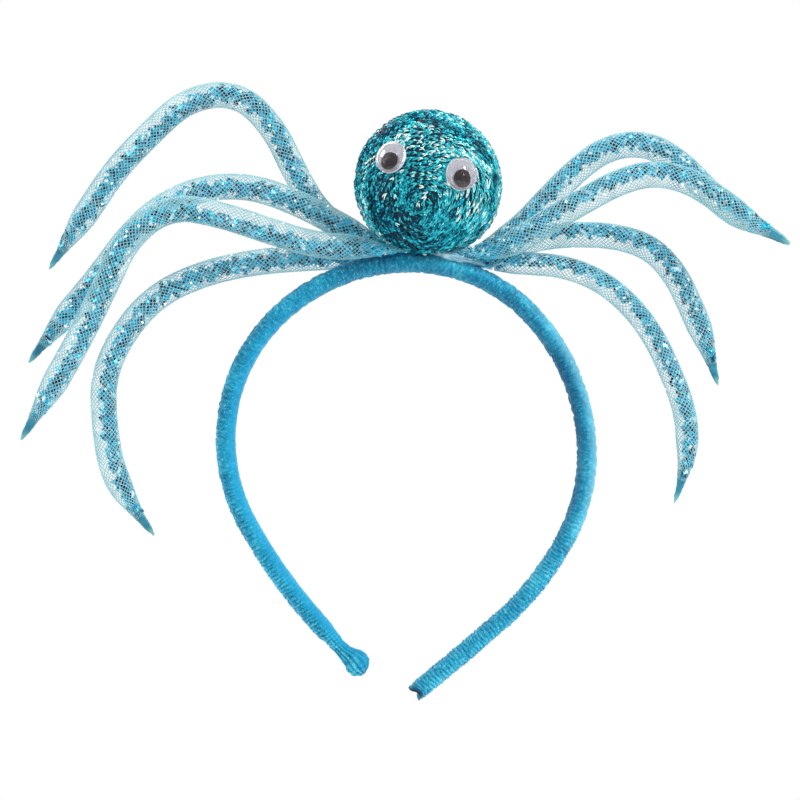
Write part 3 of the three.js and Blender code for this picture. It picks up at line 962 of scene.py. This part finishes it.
@dataclass
class Band:
    """The spring band in its gathered velvet sleeve."""

    limb_length: float = 185
    left_shortfall: float = 11.5
    thickness: float = 6.4
    depth: float = 8
    knob_length: float = 9
    knob_width: float = 8.7
    neck_width: float = 5
    neck_length: float = 9
    knob_shift: float = 0.6
    knob_overhang: float = 1.0
    notch: float = 1.5
    notch_length: float = 6
    flare: float = 0.8
    flare_length: float = 3.5
    pocket_length: float = 2.8
    gathers: tuple[tuple[float, float], ...] = (
        (-140, 1.1), (-100, 0.5), (-50, 0.2), (0, 0.12), (100, 0.14), (125, 1.1),
    )
    # How much painted shade darkens the inner side, and past one half painted light lightens the outer side,
    # by distance; on the crown it stands for the ball's shadow.
    painted_shades: tuple[tuple[float, float], ...] = (
        (-45, 0), (-10, 0.4), (5, 0.6), (30, 0.5), (60, 1), (105, 0.9), (130, 0.3),
    )
    sleeks: tuple[tuple[float, float], ...] = ((-150, 1), (-110, 1), (-50, 0.7), (-20, 0))
    pleat_height: float = 0.7
    lump_height: float = 0.4
    arcs: tuple[tuple[float, float, float], ...] = (
        (0.245, 44, 50), (0.225, 45, 37), (0.155, 30, 30), (0.187, 12, 22), (0.188, 4, 2),
    )
    step: float = 0.26
    sides: int = 56
    rib_pitch: float = 1.2
    rib_height: float = 0.36

    def limb_point(self, distance: float) -> tuple[Vector, Vector]:
        """Finds a place on the band's middle line.

        Args:
            distance: How far it is from the crown, below 0 on the left limb.

        Returns:
            The point and the direction away from the head.
        """
        side = -1 if distance < 0 else 1
        x, z, heading, left = 0.0, self.thickness / 2, 0.0, abs(distance)
        for share, left_turn, right_turn in self.arcs:
            run = min(left, share * self.limb_length)
            radius = share * self.limb_length / math.radians(left_turn if side < 0 else right_turn)
            turned = heading + run / radius
            x += radius * (math.sin(turned) - math.sin(heading))
            z -= radius * (math.cos(heading) - math.cos(turned))
            heading = turned
            left -= run
        return Vector((side * x, 0, z)), Vector((side * math.sin(heading), 0, math.cos(heading)))

    def knob_rows(self, start: float) -> list[tuple[float, ...]]:
        """Lists the knob's sections from its end to the neck, as `stations` does."""
        turns = [math.radians(a) for a in range(0, 91, 6)]
        outline = [(0.42 * (1 - math.cos(turn)), max(math.sin(turn), 0.02)) for turn in turns]
        outline += [
            (0.5, 0.98), (0.59, 0.93), (0.68, 0.85), (0.77, 0.76), (0.87, 0.68), (0.97, 0.63), (1.07, 0.61),
        ]
        rows = []
        for back, size in outline:
            shift = -self.knob_shift * math.sin(math.pi * min(back, 1)) ** 0.8
            distance = start - self.knob_overhang + back * (self.knob_length + self.knob_overhang / 2)
            thick, deep = size * self.knob_width, size * self.depth
            rows.append((distance, thick, deep, 0.3 + 0.4 * back, 1, 0, 0.9, 0, shift, 0.2))
        return rows

    def stations(self) -> list[tuple[float, ...]]:
        """Lists the band's sections from the knob's end to the pocket in the cut end.

        Returns:
            Distance, thickness, depth, gather, pleat, inside, sleek, notch, shift and painted shade amount
            of each.
        """
        start = -(self.limb_length - self.left_shortfall)
        neck = start + 1.2 * self.knob_length
        rows = self.knob_rows(start)
        end = self.limb_length
        for distance in np.arange(neck, end, self.step):
            swell = min((distance - neck) / self.neck_length, 1)
            swell = swell * swell * (3 - 2 * swell)
            thick = self.neck_width + (self.thickness - self.neck_width) * swell
            deep = self.neck_width + (self.depth - self.neck_width) * swell
            gather, painted_shade, sleek = (
                np.interp(distance, *zip(*pairs)) for pairs in (self.gathers, self.painted_shades, self.sleeks)
            )
            pleat = max(0.6 * (1 - (distance - neck) / self.neck_length), 0)
            left = end - distance
            notch = -self.notch * max(1 - left / self.notch_length, 0) ** 2
            flare = -self.flare * max(1 - left / self.flare_length, 0)
            # Painted shade in the cut end's pocket, rising over its last millimetres.
            hollow_shade = min(1.5 * max(1 - left / self.pocket_length, 0), 1)
            thick, deep = thick + flare, deep + flare
            rows.append((distance, thick, deep, gather, pleat, hollow_shade, sleek, notch, 0, painted_shade))
        wide = self.thickness - 0.7
        for back, share in ((0, 0.93), (0, 0.84), (0.6, 0.6), (1.2, 0.3)):
            rows.append((end - back, share * wide, share * self.depth, 0.2, 0, 1, 0, -self.notch, 0, 0))
        rows.append((end - 1.4, 0.01, 0.01, 0, 0, 1, 0, -self.notch, 0, 0))
        return rows

    def build(self, skin: Recipe) -> None:
        """Grows the velvet sleeve."""
        rows = self.stations()
        points, heights = [], []
        for row in rows:
            point, outward = self.limb_point(row[0])
            points.append((point + outward * row[8]) * MM)
            heights.append(outward * (row[1] / 2 * MM))
        table = np.array(rows)
        depths = np.zeros((len(rows), 3))
        depths[:, 1] = -table[:, 2] / 2 * MM
        facts = {
            "along": table[:, 0] * MM, "depth_axis": depths, "height_axis": np.array(heights),
            "gather": table[:, 3], "pleat": table[:, 4], "inside": table[:, 5], "sleek": table[:, 6],
            "notch": table[:, 7] * MM, "painted_shade": table[:, 9],
        }
        values = {
            "Stations": len(rows), "Sides": self.sides, "Rib Pitch": self.rib_pitch * MM,
            "Rib Height": self.rib_height * MM, "Wander": 2.4, "Pleats": 14.0,
            "Pleat Height": self.pleat_height * MM, "Lump Height": self.lump_height * MM,
            "Material": VelvetFinish().material(),
        }
        piece = skin.grow("velvet_cover", rail_mesh("band_rail", np.array(points), facts), values)
        settle(piece, HEADBAND, ["velvet_band"])


# The ball


@dataclass
class Ball:
    """The foam ball in its foil knit, with the bead of glue that holds it."""

    diameter: float = 45.4
    offset: float = 5.5
    seat: float = 1.4
    band_thickness: float = 6.4
    row_pitch: float = 1.1
    stitch_pitch: float = 1.25
    pile: float = 0.9
    stitch_half_length: float = 0.95
    stitch_half_width: float = 0.24
    foam_sides: int = 96
    glue_tilt: float = 14
    glue_lumps: tuple[tuple[float, float], ...] = ((0.2, 2.6), (0.12, 8))
    glue_size: tuple[float, float, float] = (19, 9.6, 3.8)
    glue_place: tuple[float, float, float] = (13.4, 0, 5.1)

    @property
    def radius(self) -> float:
        """Half the ball's width."""
        return self.diameter / 2

    @property
    def centre(self) -> Vector:
        """The ball's middle, in millimetres."""
        return Vector((self.offset, 0, self.band_thickness + self.radius - self.seat))

    def stitch(self) -> bpy.types.Mesh:
        """Makes one stitch: two bowed and twisted strips of foil that meet in a V.

        Returns:
            The mesh, in metres.
        """
        steps = 4
        half = self.stitch_half_length
        points, faces = [], []
        for way in (-1, 1):
            first = len(points)
            for k in range(steps + 1):
                share = k / steps
                x = half * (2 * share - 1)
                y = way * (0.08 + 0.4 * share)
                z = self.pile * 0.75 * math.sin(math.pi * (0.12 + 0.76 * share)) - 0.15
                twist = way * (0.75 - 1.0 * share)
                edge = Vector((0, math.cos(twist), math.sin(twist))) * self.stitch_half_width
                edge *= 0.55 + 0.45 * math.sin(math.pi * share)
                points += [Vector((x, y, z)) - edge, Vector((x, y, z)) + edge]
            for k in range(steps):
                a = first + 2 * k
                faces.append((a, a + 2, a + 3, a + 1))
        mesh = bpy.data.meshes.new("stitch")
        mesh.from_pydata([point * MM for point in points], [], faces)
        return mesh

    def build(self, knit: Recipe) -> None:
        """Makes the foam core and grows the knit on it."""
        inner = self.radius - self.pile
        profile = [
            (inner * math.sin(math.radians(a)), -inner * math.cos(math.radians(a))) for a in range(0, 181, 4)
        ]
        profile[0] = (0, -inner)
        profile[-1] = (0, inner)
        skin = lathe(profile, self.foam_sides, Matrix.Translation(self.centre * MM))
        core = link_piece("ball_foam", skin, FOAM.material())
        flat = self.band_thickness + 0.1
        for vertex in core.data.vertices:
            if vertex.co.z < flat * MM and abs(vertex.co.y) < 6 * MM:
                vertex.co.z = flat * MM
        settle(core, HEADBAND, ["body_ball"])
        count = int(4 * math.pi * self.radius**2 / (self.row_pitch * self.stitch_pitch))
        values = {
            "Stitches": count, "Ball Radius": (self.radius - 0.75 * self.pile) * MM,
            "Row Pitch": self.row_pitch * MM, "Centre X": self.centre.x * MM, "Centre Z": self.centre.z * MM,
            "Row Slope": math.radians(112), "Stretch": 0.8, "Flat Below": (self.band_thickness + 0.7) * MM,
            "Flat Half Depth": 2.6 * MM, "Material": KNIT_FOIL.material(),
        }
        settle(knit.grow("foil_knit", self.stitch(), values), HEADBAND)

    def build_glue_seat(self, look: bpy.types.Material) -> None:
        """Makes the lumpy skin of glue that runs out between the ball and the band's crown."""
        length, depth, height = self.glue_size
        turn = Matrix.Rotation(math.radians(self.glue_tilt), 4, "Y")
        rings = [(math.sin(math.radians(a)), -math.cos(math.radians(a))) for a in range(0, 181, 6)]
        rings[0] = (0, -1)
        rings[-1] = (0, 1)
        mesh = lathe(rings, 60, Matrix.Identity(4))
        for vertex in mesh.vertices:
            spot = vertex.co / MM
            lump = 1 + sum(share * noise.noise(spot * scale) for share, scale in self.glue_lumps)
            shaped = Vector((spot.x * length, spot.y * depth, spot.z * height)) * (lump / 2)
            vertex.co = (turn @ shaped + Vector(self.glue_place)) * MM
        settle(link_piece("glue_seat", mesh, look), HEADBAND)

    def build_glue(self) -> None:
        """Smooths the bead of glue, and lays the rest of the glue round the ball's foot."""
        look = HOT_GLUE.material()
        self.build_glue_seat(look)
        shape = bmesh.new()
        shape.from_mesh(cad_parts["glue_bead"].data)
        bmesh.ops.remove_doubles(shape, verts=shape.verts, dist=1e-6)
        mesh = bpy.data.meshes.new("glue")
        shape.to_mesh(mesh)
        shape.free()
        mesh.materials.clear()
        piece = link_piece("hot_glue", mesh, look)
        modifier = piece.modifiers.new("round", "SUBSURF")
        modifier.levels = modifier.render_levels = 2
        mesh.shade_smooth()
        settle(piece, HEADBAND, ["glue_bead"])


# The eyes


@dataclass
class Eye:
    """One googly eye: a white backing, a clear dome and a loose pupil."""

    name: str
    azimuth: float
    elevation: float
    width: float = 10
    backing: float = 0.9
    dome_height: float = 2.7
    wall: float = 0.4
    lip: float = 0.3
    rim: float = 0.5
    pupil_width: float = 5.5
    pupil_thickness: float = 0.5
    gap: float = 0.2
    cad_wall: float = 0.7
    sides: int = 64

    def place(self, ball: Ball) -> Matrix:
        """Where the eye's back sits on the ball, in metres."""
        azimuth, elevation = math.radians(self.azimuth), math.radians(self.elevation)
        outward = Vector((
            math.sin(azimuth) * math.cos(elevation),
            -math.cos(azimuth) * math.cos(elevation),
            math.sin(elevation),
        ))
        up = (Vector((0, 0, 1)) - outward * outward.z).normalized()
        turn = Matrix((up.cross(outward), up, outward)).transposed().to_4x4()
        return Matrix.Translation((ball.centre + outward * (ball.radius + self.gap)) * MM) @ turn

    def dome_profile(self, radius: float, foot: float, top: float) -> list[tuple[float, float]]:
        """One skin of the dome, a cap of a sphere, from its foot to the axis."""
        rise = top - foot
        sphere = (radius**2 + rise**2) / (2 * rise)
        widths = [radius * math.sin(math.radians(a)) for a in range(90, -1, -6)]
        return [(width, foot + math.sqrt(sphere**2 - width**2) - sphere + rise) for width in widths]

    def build(self, ball: Ball, looks: dict[str, bpy.types.Material]) -> None:
        """Turns the three pieces of the eye.

        Args:
            ball: The ball that carries it.
            looks: The materials by the pieces' names.
        """
        place = self.place(ball)
        half = self.width / 2
        top = self.backing
        disc = [
            (0, 0), (half - 0.2, 0), (half, 0.2), (half, top - 0.2), (half - 0.15, top - 0.03),
            (half - 0.3, top), (half - 0.8, top - 0.12), (0, top - 0.12),
        ]
        backing = link_piece(f"eye_disc_{self.name}", lathe(disc, self.sides, place), looks["backing"])
        settle(backing, HEADBAND, [f"eye_backing_{self.name}"])

        floor = self.backing + self.gap
        outer = [(half, 0), (half, 0.3), (half - 0.15, self.rim)]
        room = half - self.lip - self.wall
        outer += self.dome_profile(half - self.lip, self.rim, self.dome_height)
        inner = self.dome_profile(room, self.rim, self.dome_height - self.wall)
        profile = [*reversed(inner), (room, 0), *outer]
        profile[0] = (0, self.dome_height - self.wall)
        profile[-1] = (0, self.dome_height)
        lifted = [(radius, height + floor) for radius, height in profile]
        dome = link_piece(f"eye_shell_{self.name}", lathe(lifted, self.sides, place), looks["dome"])
        settle(dome, HEADBAND, [f"eye_dome_{self.name}"])

        swing = half - self.cad_wall - self.pupil_width / 2 - self.gap
        edge = self.pupil_width / 2
        thick = self.pupil_thickness
        coin = [(0, 0), (edge - 0.1, 0), (edge, 0.1), (edge, thick - 0.12), (edge - 0.12, thick), (0, thick)]
        spot = place @ Matrix.Translation(Vector((0, -swing, floor)) * MM)
        pupil = link_piece(f"pupil_disc_{self.name}", lathe(coin, self.sides, spot), looks["pupil"])
        settle(pupil, f"pupil_{self.name}", [f"pupil_{self.name}"])


# The tentacles


@dataclass(frozen=True)
class Route:
    """The course of one tentacle, as shares of the common sizes, and where the tinsel lies in it."""

    name: str
    side: Side
    reach: float
    out: float
    girth: float
    rise: float
    climbs: tuple[float, ...]
    depths: tuple[float, ...]
    lay: tuple[float, ...]


ROUTES = (
    Route(
        "left_1", Side.LEFT, 1, 0.58, 1, 0.27, (15, 32, 60, 65, 45, -8, -42, -45, -55, -55, -55),
        (1.9, 2.15, 2.2, 2.8, 3.6), (0, 0, 0, 0.35, -0.4, -0.3, 0, 0.45),
    ),
    Route(
        "left_2", Side.LEFT, 0.916, 0.49, 1, 0.11, (20, 30, 27, 18, -3, -24, -44, -54, -50, -50, -53),
        (0.95, 1, 1, 1.1, 1.2), (0, 0, -0.05, -0.1, 0, 0, 0, 0),
    ),
    Route(
        "left_3", Side.LEFT, 1, 0.49, 1, 0.02, (8, 2, 17, 19, 10, -38, -66, -65, -62, -60, -60),
        (-0.5, -0.7, -0.8, -1.3, -1.8), (0, -0.2, -0.5, -0.4, 0.4, -0.3, -0.2, -0.1),
    ),
    Route(
        "left_4", Side.LEFT, 0.987, 0.76, 1, -0.11, (0, -2, -5, -13, -25, -48, -65, -92, -100, -122, -130),
        (0.8, 1.05, 0.8, 0.5, 0.25), (0.1, 0, 0, 0, -0.15, -0.35, -0.35, -0.1),
    ),
    Route(
        "right_1", Side.RIGHT, 0.794, 0.53, 1, 0.06, (2, 33, 47, 46, 38, 8, -30, -47, -40, -27, -32),
        (0.9, 1.1, 1, 0.9, 0.9), (0.1, 0.25, 0.35, 0.35, 0.3, 0.1),
    ),
    Route(
        "right_2", Side.RIGHT, 0.7, 0.66, 1, -0.13, (8, 27, 33, 30, 29, 17, -10, -31, -37, -27, -33),
        (-0.45, -0.4, -0.4, -0.5, -0.6), (0.2, 0.5, 0.5, 0.5, 0.4, 0.2),
    ),
    Route(
        "right_3", Side.RIGHT, 0.703, 0.53, 1, -0.01, (4, 17, 14, 3, -4, -18, -47, -64, -67, -73, -73),
        (1.75, 2.25, 2.25, 2.3, 2.4), (0.3, 0.45, 0.45, 0.35, 0.3, 0.1),
    ),
    Route(
        "right_4", Side.RIGHT, 0.768, 0.58, 0.88, -0.38,
        (4, -2, -5, -22, -40, -54, -66, -70, -85, -102, -112),
        (0.55, 0.5, 0.2, -0.5, -1.2), (0.3, 0.45, 0.45, 0.35, 0.3, 0.1),
    ),
)


def spread(values: Sequence[float], share: np.ndarray) -> np.ndarray:
    """Reads a list spread evenly over 0 to 1, in straight lines between its entries."""
    return np.interp(share, np.linspace(0, 1, len(values)), values)


def through(values: Sequence[float], shares: np.ndarray) -> np.ndarray:
    """Reads a smooth centripetal spline through values at even steps.

    Args:
        values: The values.
        shares: Where it is read, 0 to 1.

    Returns:
        The spline's values.
    """
    ends = [2 * values[0] - values[1], *values, 2 * values[-1] - values[-2]]
    found = []
    for place in np.clip(shares, 0, 1) * (len(values) - 1):
        index = min(int(place), len(values) - 2)
        w = place - index
        a, b, c, d = ends[index:index + 4]
        da, db, dc = (math.hypot(1, q - p) ** 0.5 for p, q in ((a, b), (b, c), (c, d)))
        start = ((b - a) / da - (c - a) / (da + db) + (c - b) / db) * db
        end = ((c - b) / db - (d - b) / (db + dc) + (d - c) / dc) * db
        found.append(
            b + start * w + (3 * (c - b) - 2 * start - end) * w**2 + (2 * (b - c) + start + end) * w**3
        )
    return np.array(found)


@dataclass
class Tentacle:
    """One net tube with its tinsel, its glitter and its sealed tip."""

    route: Route
    length: float = 155
    tube_width: float = 8.3
    pinch_length: float = 14
    tip_length: float = 20
    steps: int = 200
    station_step: float = 1.2
    strands: int = 18
    strand_radius: float = 0.13
    slack: float = 0.5
    core_half: float = 2.85
    slivers: int = 15
    sliver_step: float = 0.8
    sliver_length: float = 2
    sliver_width: float = 0.95
    clump: float = 2.9
    coil: float = 5.8
    sway: float = 0.2
    room: float = 0.9
    dot_share: float = 0.26
    dot_radius: float = 0.4
    seal_step: float = 0.25
    seal_sides: int = 20
    hidden_root: float = 7.5
    pinch: tuple[tuple[float, float, float], ...] = (
        (0, 0.24, 0.62), (0.3, 0.52, 0.8), (0.65, 0.82, 0.93), (1, 1, 1),
    )
    tip: tuple[tuple[float, float, float], ...] = (
        (1, 1, 1), (0.78, 0.84, 0.8), (0.6, 0.64, 0.55), (0.45, 0.48, 0.3), (0.28, 0.36, 0.15),
        (0.12, 0.27, 0.11), (0.04, 0.18, 0.09), (0, 0.04, 0.04),
    )
    reach: float = field(init=False)

    def __post_init__(self) -> None:
        """Works out the tentacle's own length."""
        self.reach = self.route.reach * self.length

    def follow(self, ball: Ball) -> np.ndarray:
        """Works out the tube's middle line, in millimetres.

        Args:
            ball: The ball under which the root lies.

        Returns:
            The points at even steps.
        """
        route = self.route
        shares = (np.arange(self.steps) + 0.5) / self.steps
        climb = np.radians(spread(route.climbs, shares))
        run = self.reach / self.steps
        line = np.zeros((self.steps + 1, 3))
        line[1:, 0] = np.cumsum(np.cos(climb)) * run * route.side.value
        line[1:, 2] = np.cumsum(np.sin(climb)) * run
        line[:, 0] += ball.offset + route.side.value * route.out * ball.radius
        line[:, 2] += ball.band_thickness + route.rise * self.tube_width
        line[:, 1] = self.tube_width * through(route.depths, np.linspace(0, 1, self.steps + 1))
        return line

    def half_sizes(self, distance: np.ndarray) -> tuple[np.ndarray, np.ndarray]:
        """Half the tube's height and depth at distances from the root, in millimetres."""
        rows = [(share * self.pinch_length, high, deep) for share, high, deep in self.pinch]
        rows += [(self.reach - back * self.tip_length, high, deep) for back, high, deep in self.tip]
        table = np.array(rows)
        fine = np.arange(0, self.reach + 0.5, 0.5)
        kernel = np.ones(7) / 7
        halves = []
        for column in (1, 2):
            level = np.interp(fine, table[:, 0], table[:, column])
            smooth = np.convolve(np.pad(level, 3, mode="edge"), kernel, mode="valid")
            halves.append(np.interp(distance, fine, smooth) * self.route.girth * self.tube_width / 2)
        return halves[0], halves[1]

    def rail(
        self, ball: Ball, start: float, end: float, step: float, name: str, shut: bool = False,
    ) -> bpy.types.Mesh:
        """Makes the rail for one stretch of the tube.

        Args:
            ball: The ball under which the root lies.
            start: Where the stretch starts, from the root.
            end: Where it ends.
            step: The distance between stations, about.
            name: The rail's name.
            shut: Whether both ends shrink to a point.

        Returns:
            The rail with all the facts that the trees read.
        """
        line = self.follow(ball)
        home = line[0] - np.array((ball.offset, 0.3 * line[0][1], ball.band_thickness + 1.8))
        home /= np.linalg.norm(home)
        places = np.linspace(start, end, max(int((end - start) / step), 4) + 1)
        even = np.linspace(0, self.reach, self.steps + 1)

        def at(distance: np.ndarray) -> np.ndarray:
            """The middle line at distances from the root, and before it on towards the ball's foot."""
            beyond = np.stack([np.interp(distance, even, line[:, k]) for k in range(3)], axis=1)
            return beyond + np.minimum(distance, 0)[:, None] * home

        run = 1.5 * self.reach / self.steps
        ahead = at(places + run) - at(places - run)
        ahead /= np.linalg.norm(ahead, axis=1)[:, None]
        up = np.cross(ahead, (0, self.route.side.value, 0))
        up /= np.linalg.norm(up, axis=1)[:, None]
        across = np.cross(ahead, up)
        high, deep = self.half_sizes(places)
        taper = 1 + 0.45 * np.minimum(places, 0) / self.hidden_root
        if shut:
            taper[[0, -1]] = 0.05
        high, deep = high * taper, deep * taper
        # root also paints shade on the net where it runs under the ball.
        root = np.clip(1 - places / 18, 0, 1)
        full = self.core_half * self.route.girth * (1 + 0.4 * root)
        core = np.minimum(full, 0.9 * np.maximum(high, deep))
        room = np.maximum(high - 0.8 * core, 0)
        lay = np.clip(spread(self.route.lay, places / self.reach) * high, -room, room)
        none = np.zeros(len(places))
        facts = {
            "along": places * MM, "ahead": ahead, "height_axis": up * high[:, None] * MM,
            "depth_axis": across * deep[:, None] * MM, "core": up * lay[:, None] * MM,
            "core_half": core * MM, "gather": none + 0.6, "pleat": none + 1.0,
            "inside": np.clip(1 - (self.reach - places) / 3.5, 0, 1), "sleek": none, "notch": none,
            "painted_shade": none, "root": root, "fineness": np.clip((high + deep) / self.tube_width, 0.4, 1),
        }
        return rail_mesh(name, at(places) * MM, facts)

    def build(
        self, ball: Ball, recipes: dict[str, Recipe], looks: dict[str, bpy.types.Material], seed: int,
    ) -> None:
        """Grows the four pieces of the tentacle.

        Args:
            ball: The ball under which the root lies.
            recipes: The trees by their names.
            looks: The materials by their names.
            seed: What sets this tentacle's glitter apart.
        """
        name = self.route.name
        tube = self.rail(ball, -self.hidden_root, self.reach - 7, self.station_step, "tube_rail")
        girth = self.route.girth
        values = {
            "Strands": round(self.strands * girth), "Twist": 2 / (self.tube_width * girth * MM),
            "Strand Radius": self.strand_radius * MM, "Slack": self.slack, "Material": looks["net"],
        }
        net = recipes["net"].grow(f"net_{name}", tube, values)
        settle(net, HEADBAND, [f"tentacle_sleeve_{name}"])

        last = self.reach - 0.46 * self.tip_length
        filled = self.rail(ball, -5.0, last, self.sliver_step, "tinsel_rail")
        values = {
            "Per Station": self.slivers, "Station Step": 2 * self.sliver_step * MM,
            "Length": self.sliver_length * MM, "Width": self.sliver_width * MM, "Clump": self.clump * MM,
            "Coil": self.coil * MM, "Sway": self.sway, "Limit": self.room, "Material": looks["tinsel"],
        }
        tinsel = recipes["tinsel"].grow(f"tinsel_{name}", filled, values)
        settle(tinsel, HEADBAND, [f"tinsel_core_{name}"])

        dotted = self.rail(ball, 6, self.reach - 0.7 * self.tip_length, self.station_step, "glitter_rail")
        values = {
            "Share": self.dot_share, "Dot Radius": self.dot_radius * MM, "Seed": seed,
            "Material": looks["glitter"],
        }
        settle(recipes["glitter"].grow(f"glitter_{name}", dotted, values), HEADBAND)

        joint = self.reach - 0.45 * self.tip_length
        sealed = self.rail(ball, joint, self.reach, self.seal_step, "seal_rail", shut=True)
        values = {
            "Stations": len(sealed.vertices), "Sides": self.seal_sides, "Rib Pitch": 1.1 * MM,
            "Rib Height": 0.1 * MM, "Wander": 2.0, "Pleats": 7.0, "Pleat Height": 0.1 * MM,
            "Lump Height": 0.08 * MM, "Material": looks["seal"],
        }
        settle(recipes["skin"].grow(f"seal_{name}", sealed, values), HEADBAND)


# The studio


@dataclass
class Studio:
    """The floor, the lights and the camera."""

    camera_place: tuple[float, float, float] = (-3.1, -900, -39.4)
    lens: float = 130.6
    sensor: float = 36
    floor_height: float = -250
    floor_radius: float = 500
    lamps: tuple[tuple[str, tuple[float, float, float], float, float], ...] = (
        ("key", (600, -440, 560), 5.4, 190), ("fill", (-700, 60, 420), 2.8, 360),
        ("back", (0, 520, 520), 1.4, 460),
    )

    def build(self) -> None:
        """Sets up the floor, the lights and the camera."""
        scene = bpy.context.scene
        scene.view_settings.view_transform = "Standard"
        top, radius = self.floor_height, self.floor_radius
        disc = [(0, top - 4), (radius - 2, top - 4), (radius, top - 2), (radius - 2, top), (0, top)]
        floor = link_piece("studio_floor", lathe(disc, 96, Matrix.Identity(4)), FLOOR_PAPER.material())
        self.world(scene)
        for lamp in self.lamps:
            self.lamp(*lamp)
        data = bpy.data.cameras.new("camera")
        data.lens = self.lens
        data.sensor_width = self.sensor
        data.clip_end = 20
        camera = bpy.data.objects.new("camera", data)
        camera.location = Vector(self.camera_place) * MM
        camera.rotation_euler = (math.pi / 2, 0, 0)
        scene.collection.objects.link(camera)
        scene.camera = camera

    def world(self, scene: bpy.types.Scene) -> None:
        """Lights the scene from all round, brighter above, before a white backdrop."""
        world = bpy.data.worlds.new("studio")
        world.use_nodes = True
        sheet = NodeSheet(world.node_tree)
        way = sheet.add("ShaderNodeTexCoord").outputs["Generated"]
        glow = sheet.mapped(sheet.vector("DOT_PRODUCT", way, (0.0, 0.75, 0.55)), -0.9, 0.9, 0.62, 1.32)
        room = sheet.add("ShaderNodeBackground", {"Strength": glow}).outputs[0]
        backdrop = sheet.add("ShaderNodeBackground", {"Color": (1, 1, 1, 1), "Strength": 1.0}).outputs[0]
        ray = sheet.add("ShaderNodeLightPath").outputs["Is Camera Ray"]
        mixed = sheet.add("ShaderNodeMixShader", {0: ray, 1: room, 2: backdrop}).outputs[0]
        sheet.add("ShaderNodeOutputWorld", {0: mixed})
        scene.world = world

    def lamp(self, name: str, place: tuple[float, float, float], power: float, size: float) -> None:
        """Adds a soft square lamp that faces the ball.

        Args:
            name: The lamp's name.
            place: Where it hangs, in millimetres.
            power: Its power in watts.
            size: The length of its side, in millimetres.
        """
        data = bpy.data.lights.new(name, "AREA")
        data.energy = power
        data.size = size * MM
        lamp = bpy.data.objects.new(name, data)
        lamp.location = Vector(place) * MM
        aim = Vector((0, 0, -20)) - Vector(place)
        lamp.rotation_euler = aim.to_track_quat("-Z", "Y").to_euler()
        bpy.context.scene.collection.objects.link(lamp)


def main() -> None:
    """Builds the headband's looks and the studio."""
    logging.basicConfig(level=logging.INFO, format="%(name)s: %(message)s")
    recipes = {
        "skin": skin_recipe(), "net": net_recipe(), "tinsel": tinsel_recipe(), "glitter": glitter_recipe(),
        "knit": knit_recipe(),
    }
    Band().build(recipes["skin"])
    ball = Ball()
    ball.build(recipes["knit"])
    ball.build_glue()
    eye_looks = {
        "backing": EYE_WHITE.material(), "dome": CLEAR_DOME.material(), "pupil": PUPIL_BLACK.material(),
    }
    Eye("left", -30, 16).build(ball, eye_looks)
    Eye("right", 25, 3).build(ball, eye_looks)
    looks = {
        "net": NET_NYLON.material(), "tinsel": TINSEL_FOIL.material(), "glitter": SILVER_FOIL.material(),
        "seal": SEAL_NYLON.material(),
    }
    for number, route in enumerate(ROUTES):
        Tentacle(route).build(ball, recipes, looks, 10 * number)
    Studio().build()


if __name__ == "__main__":
    main()
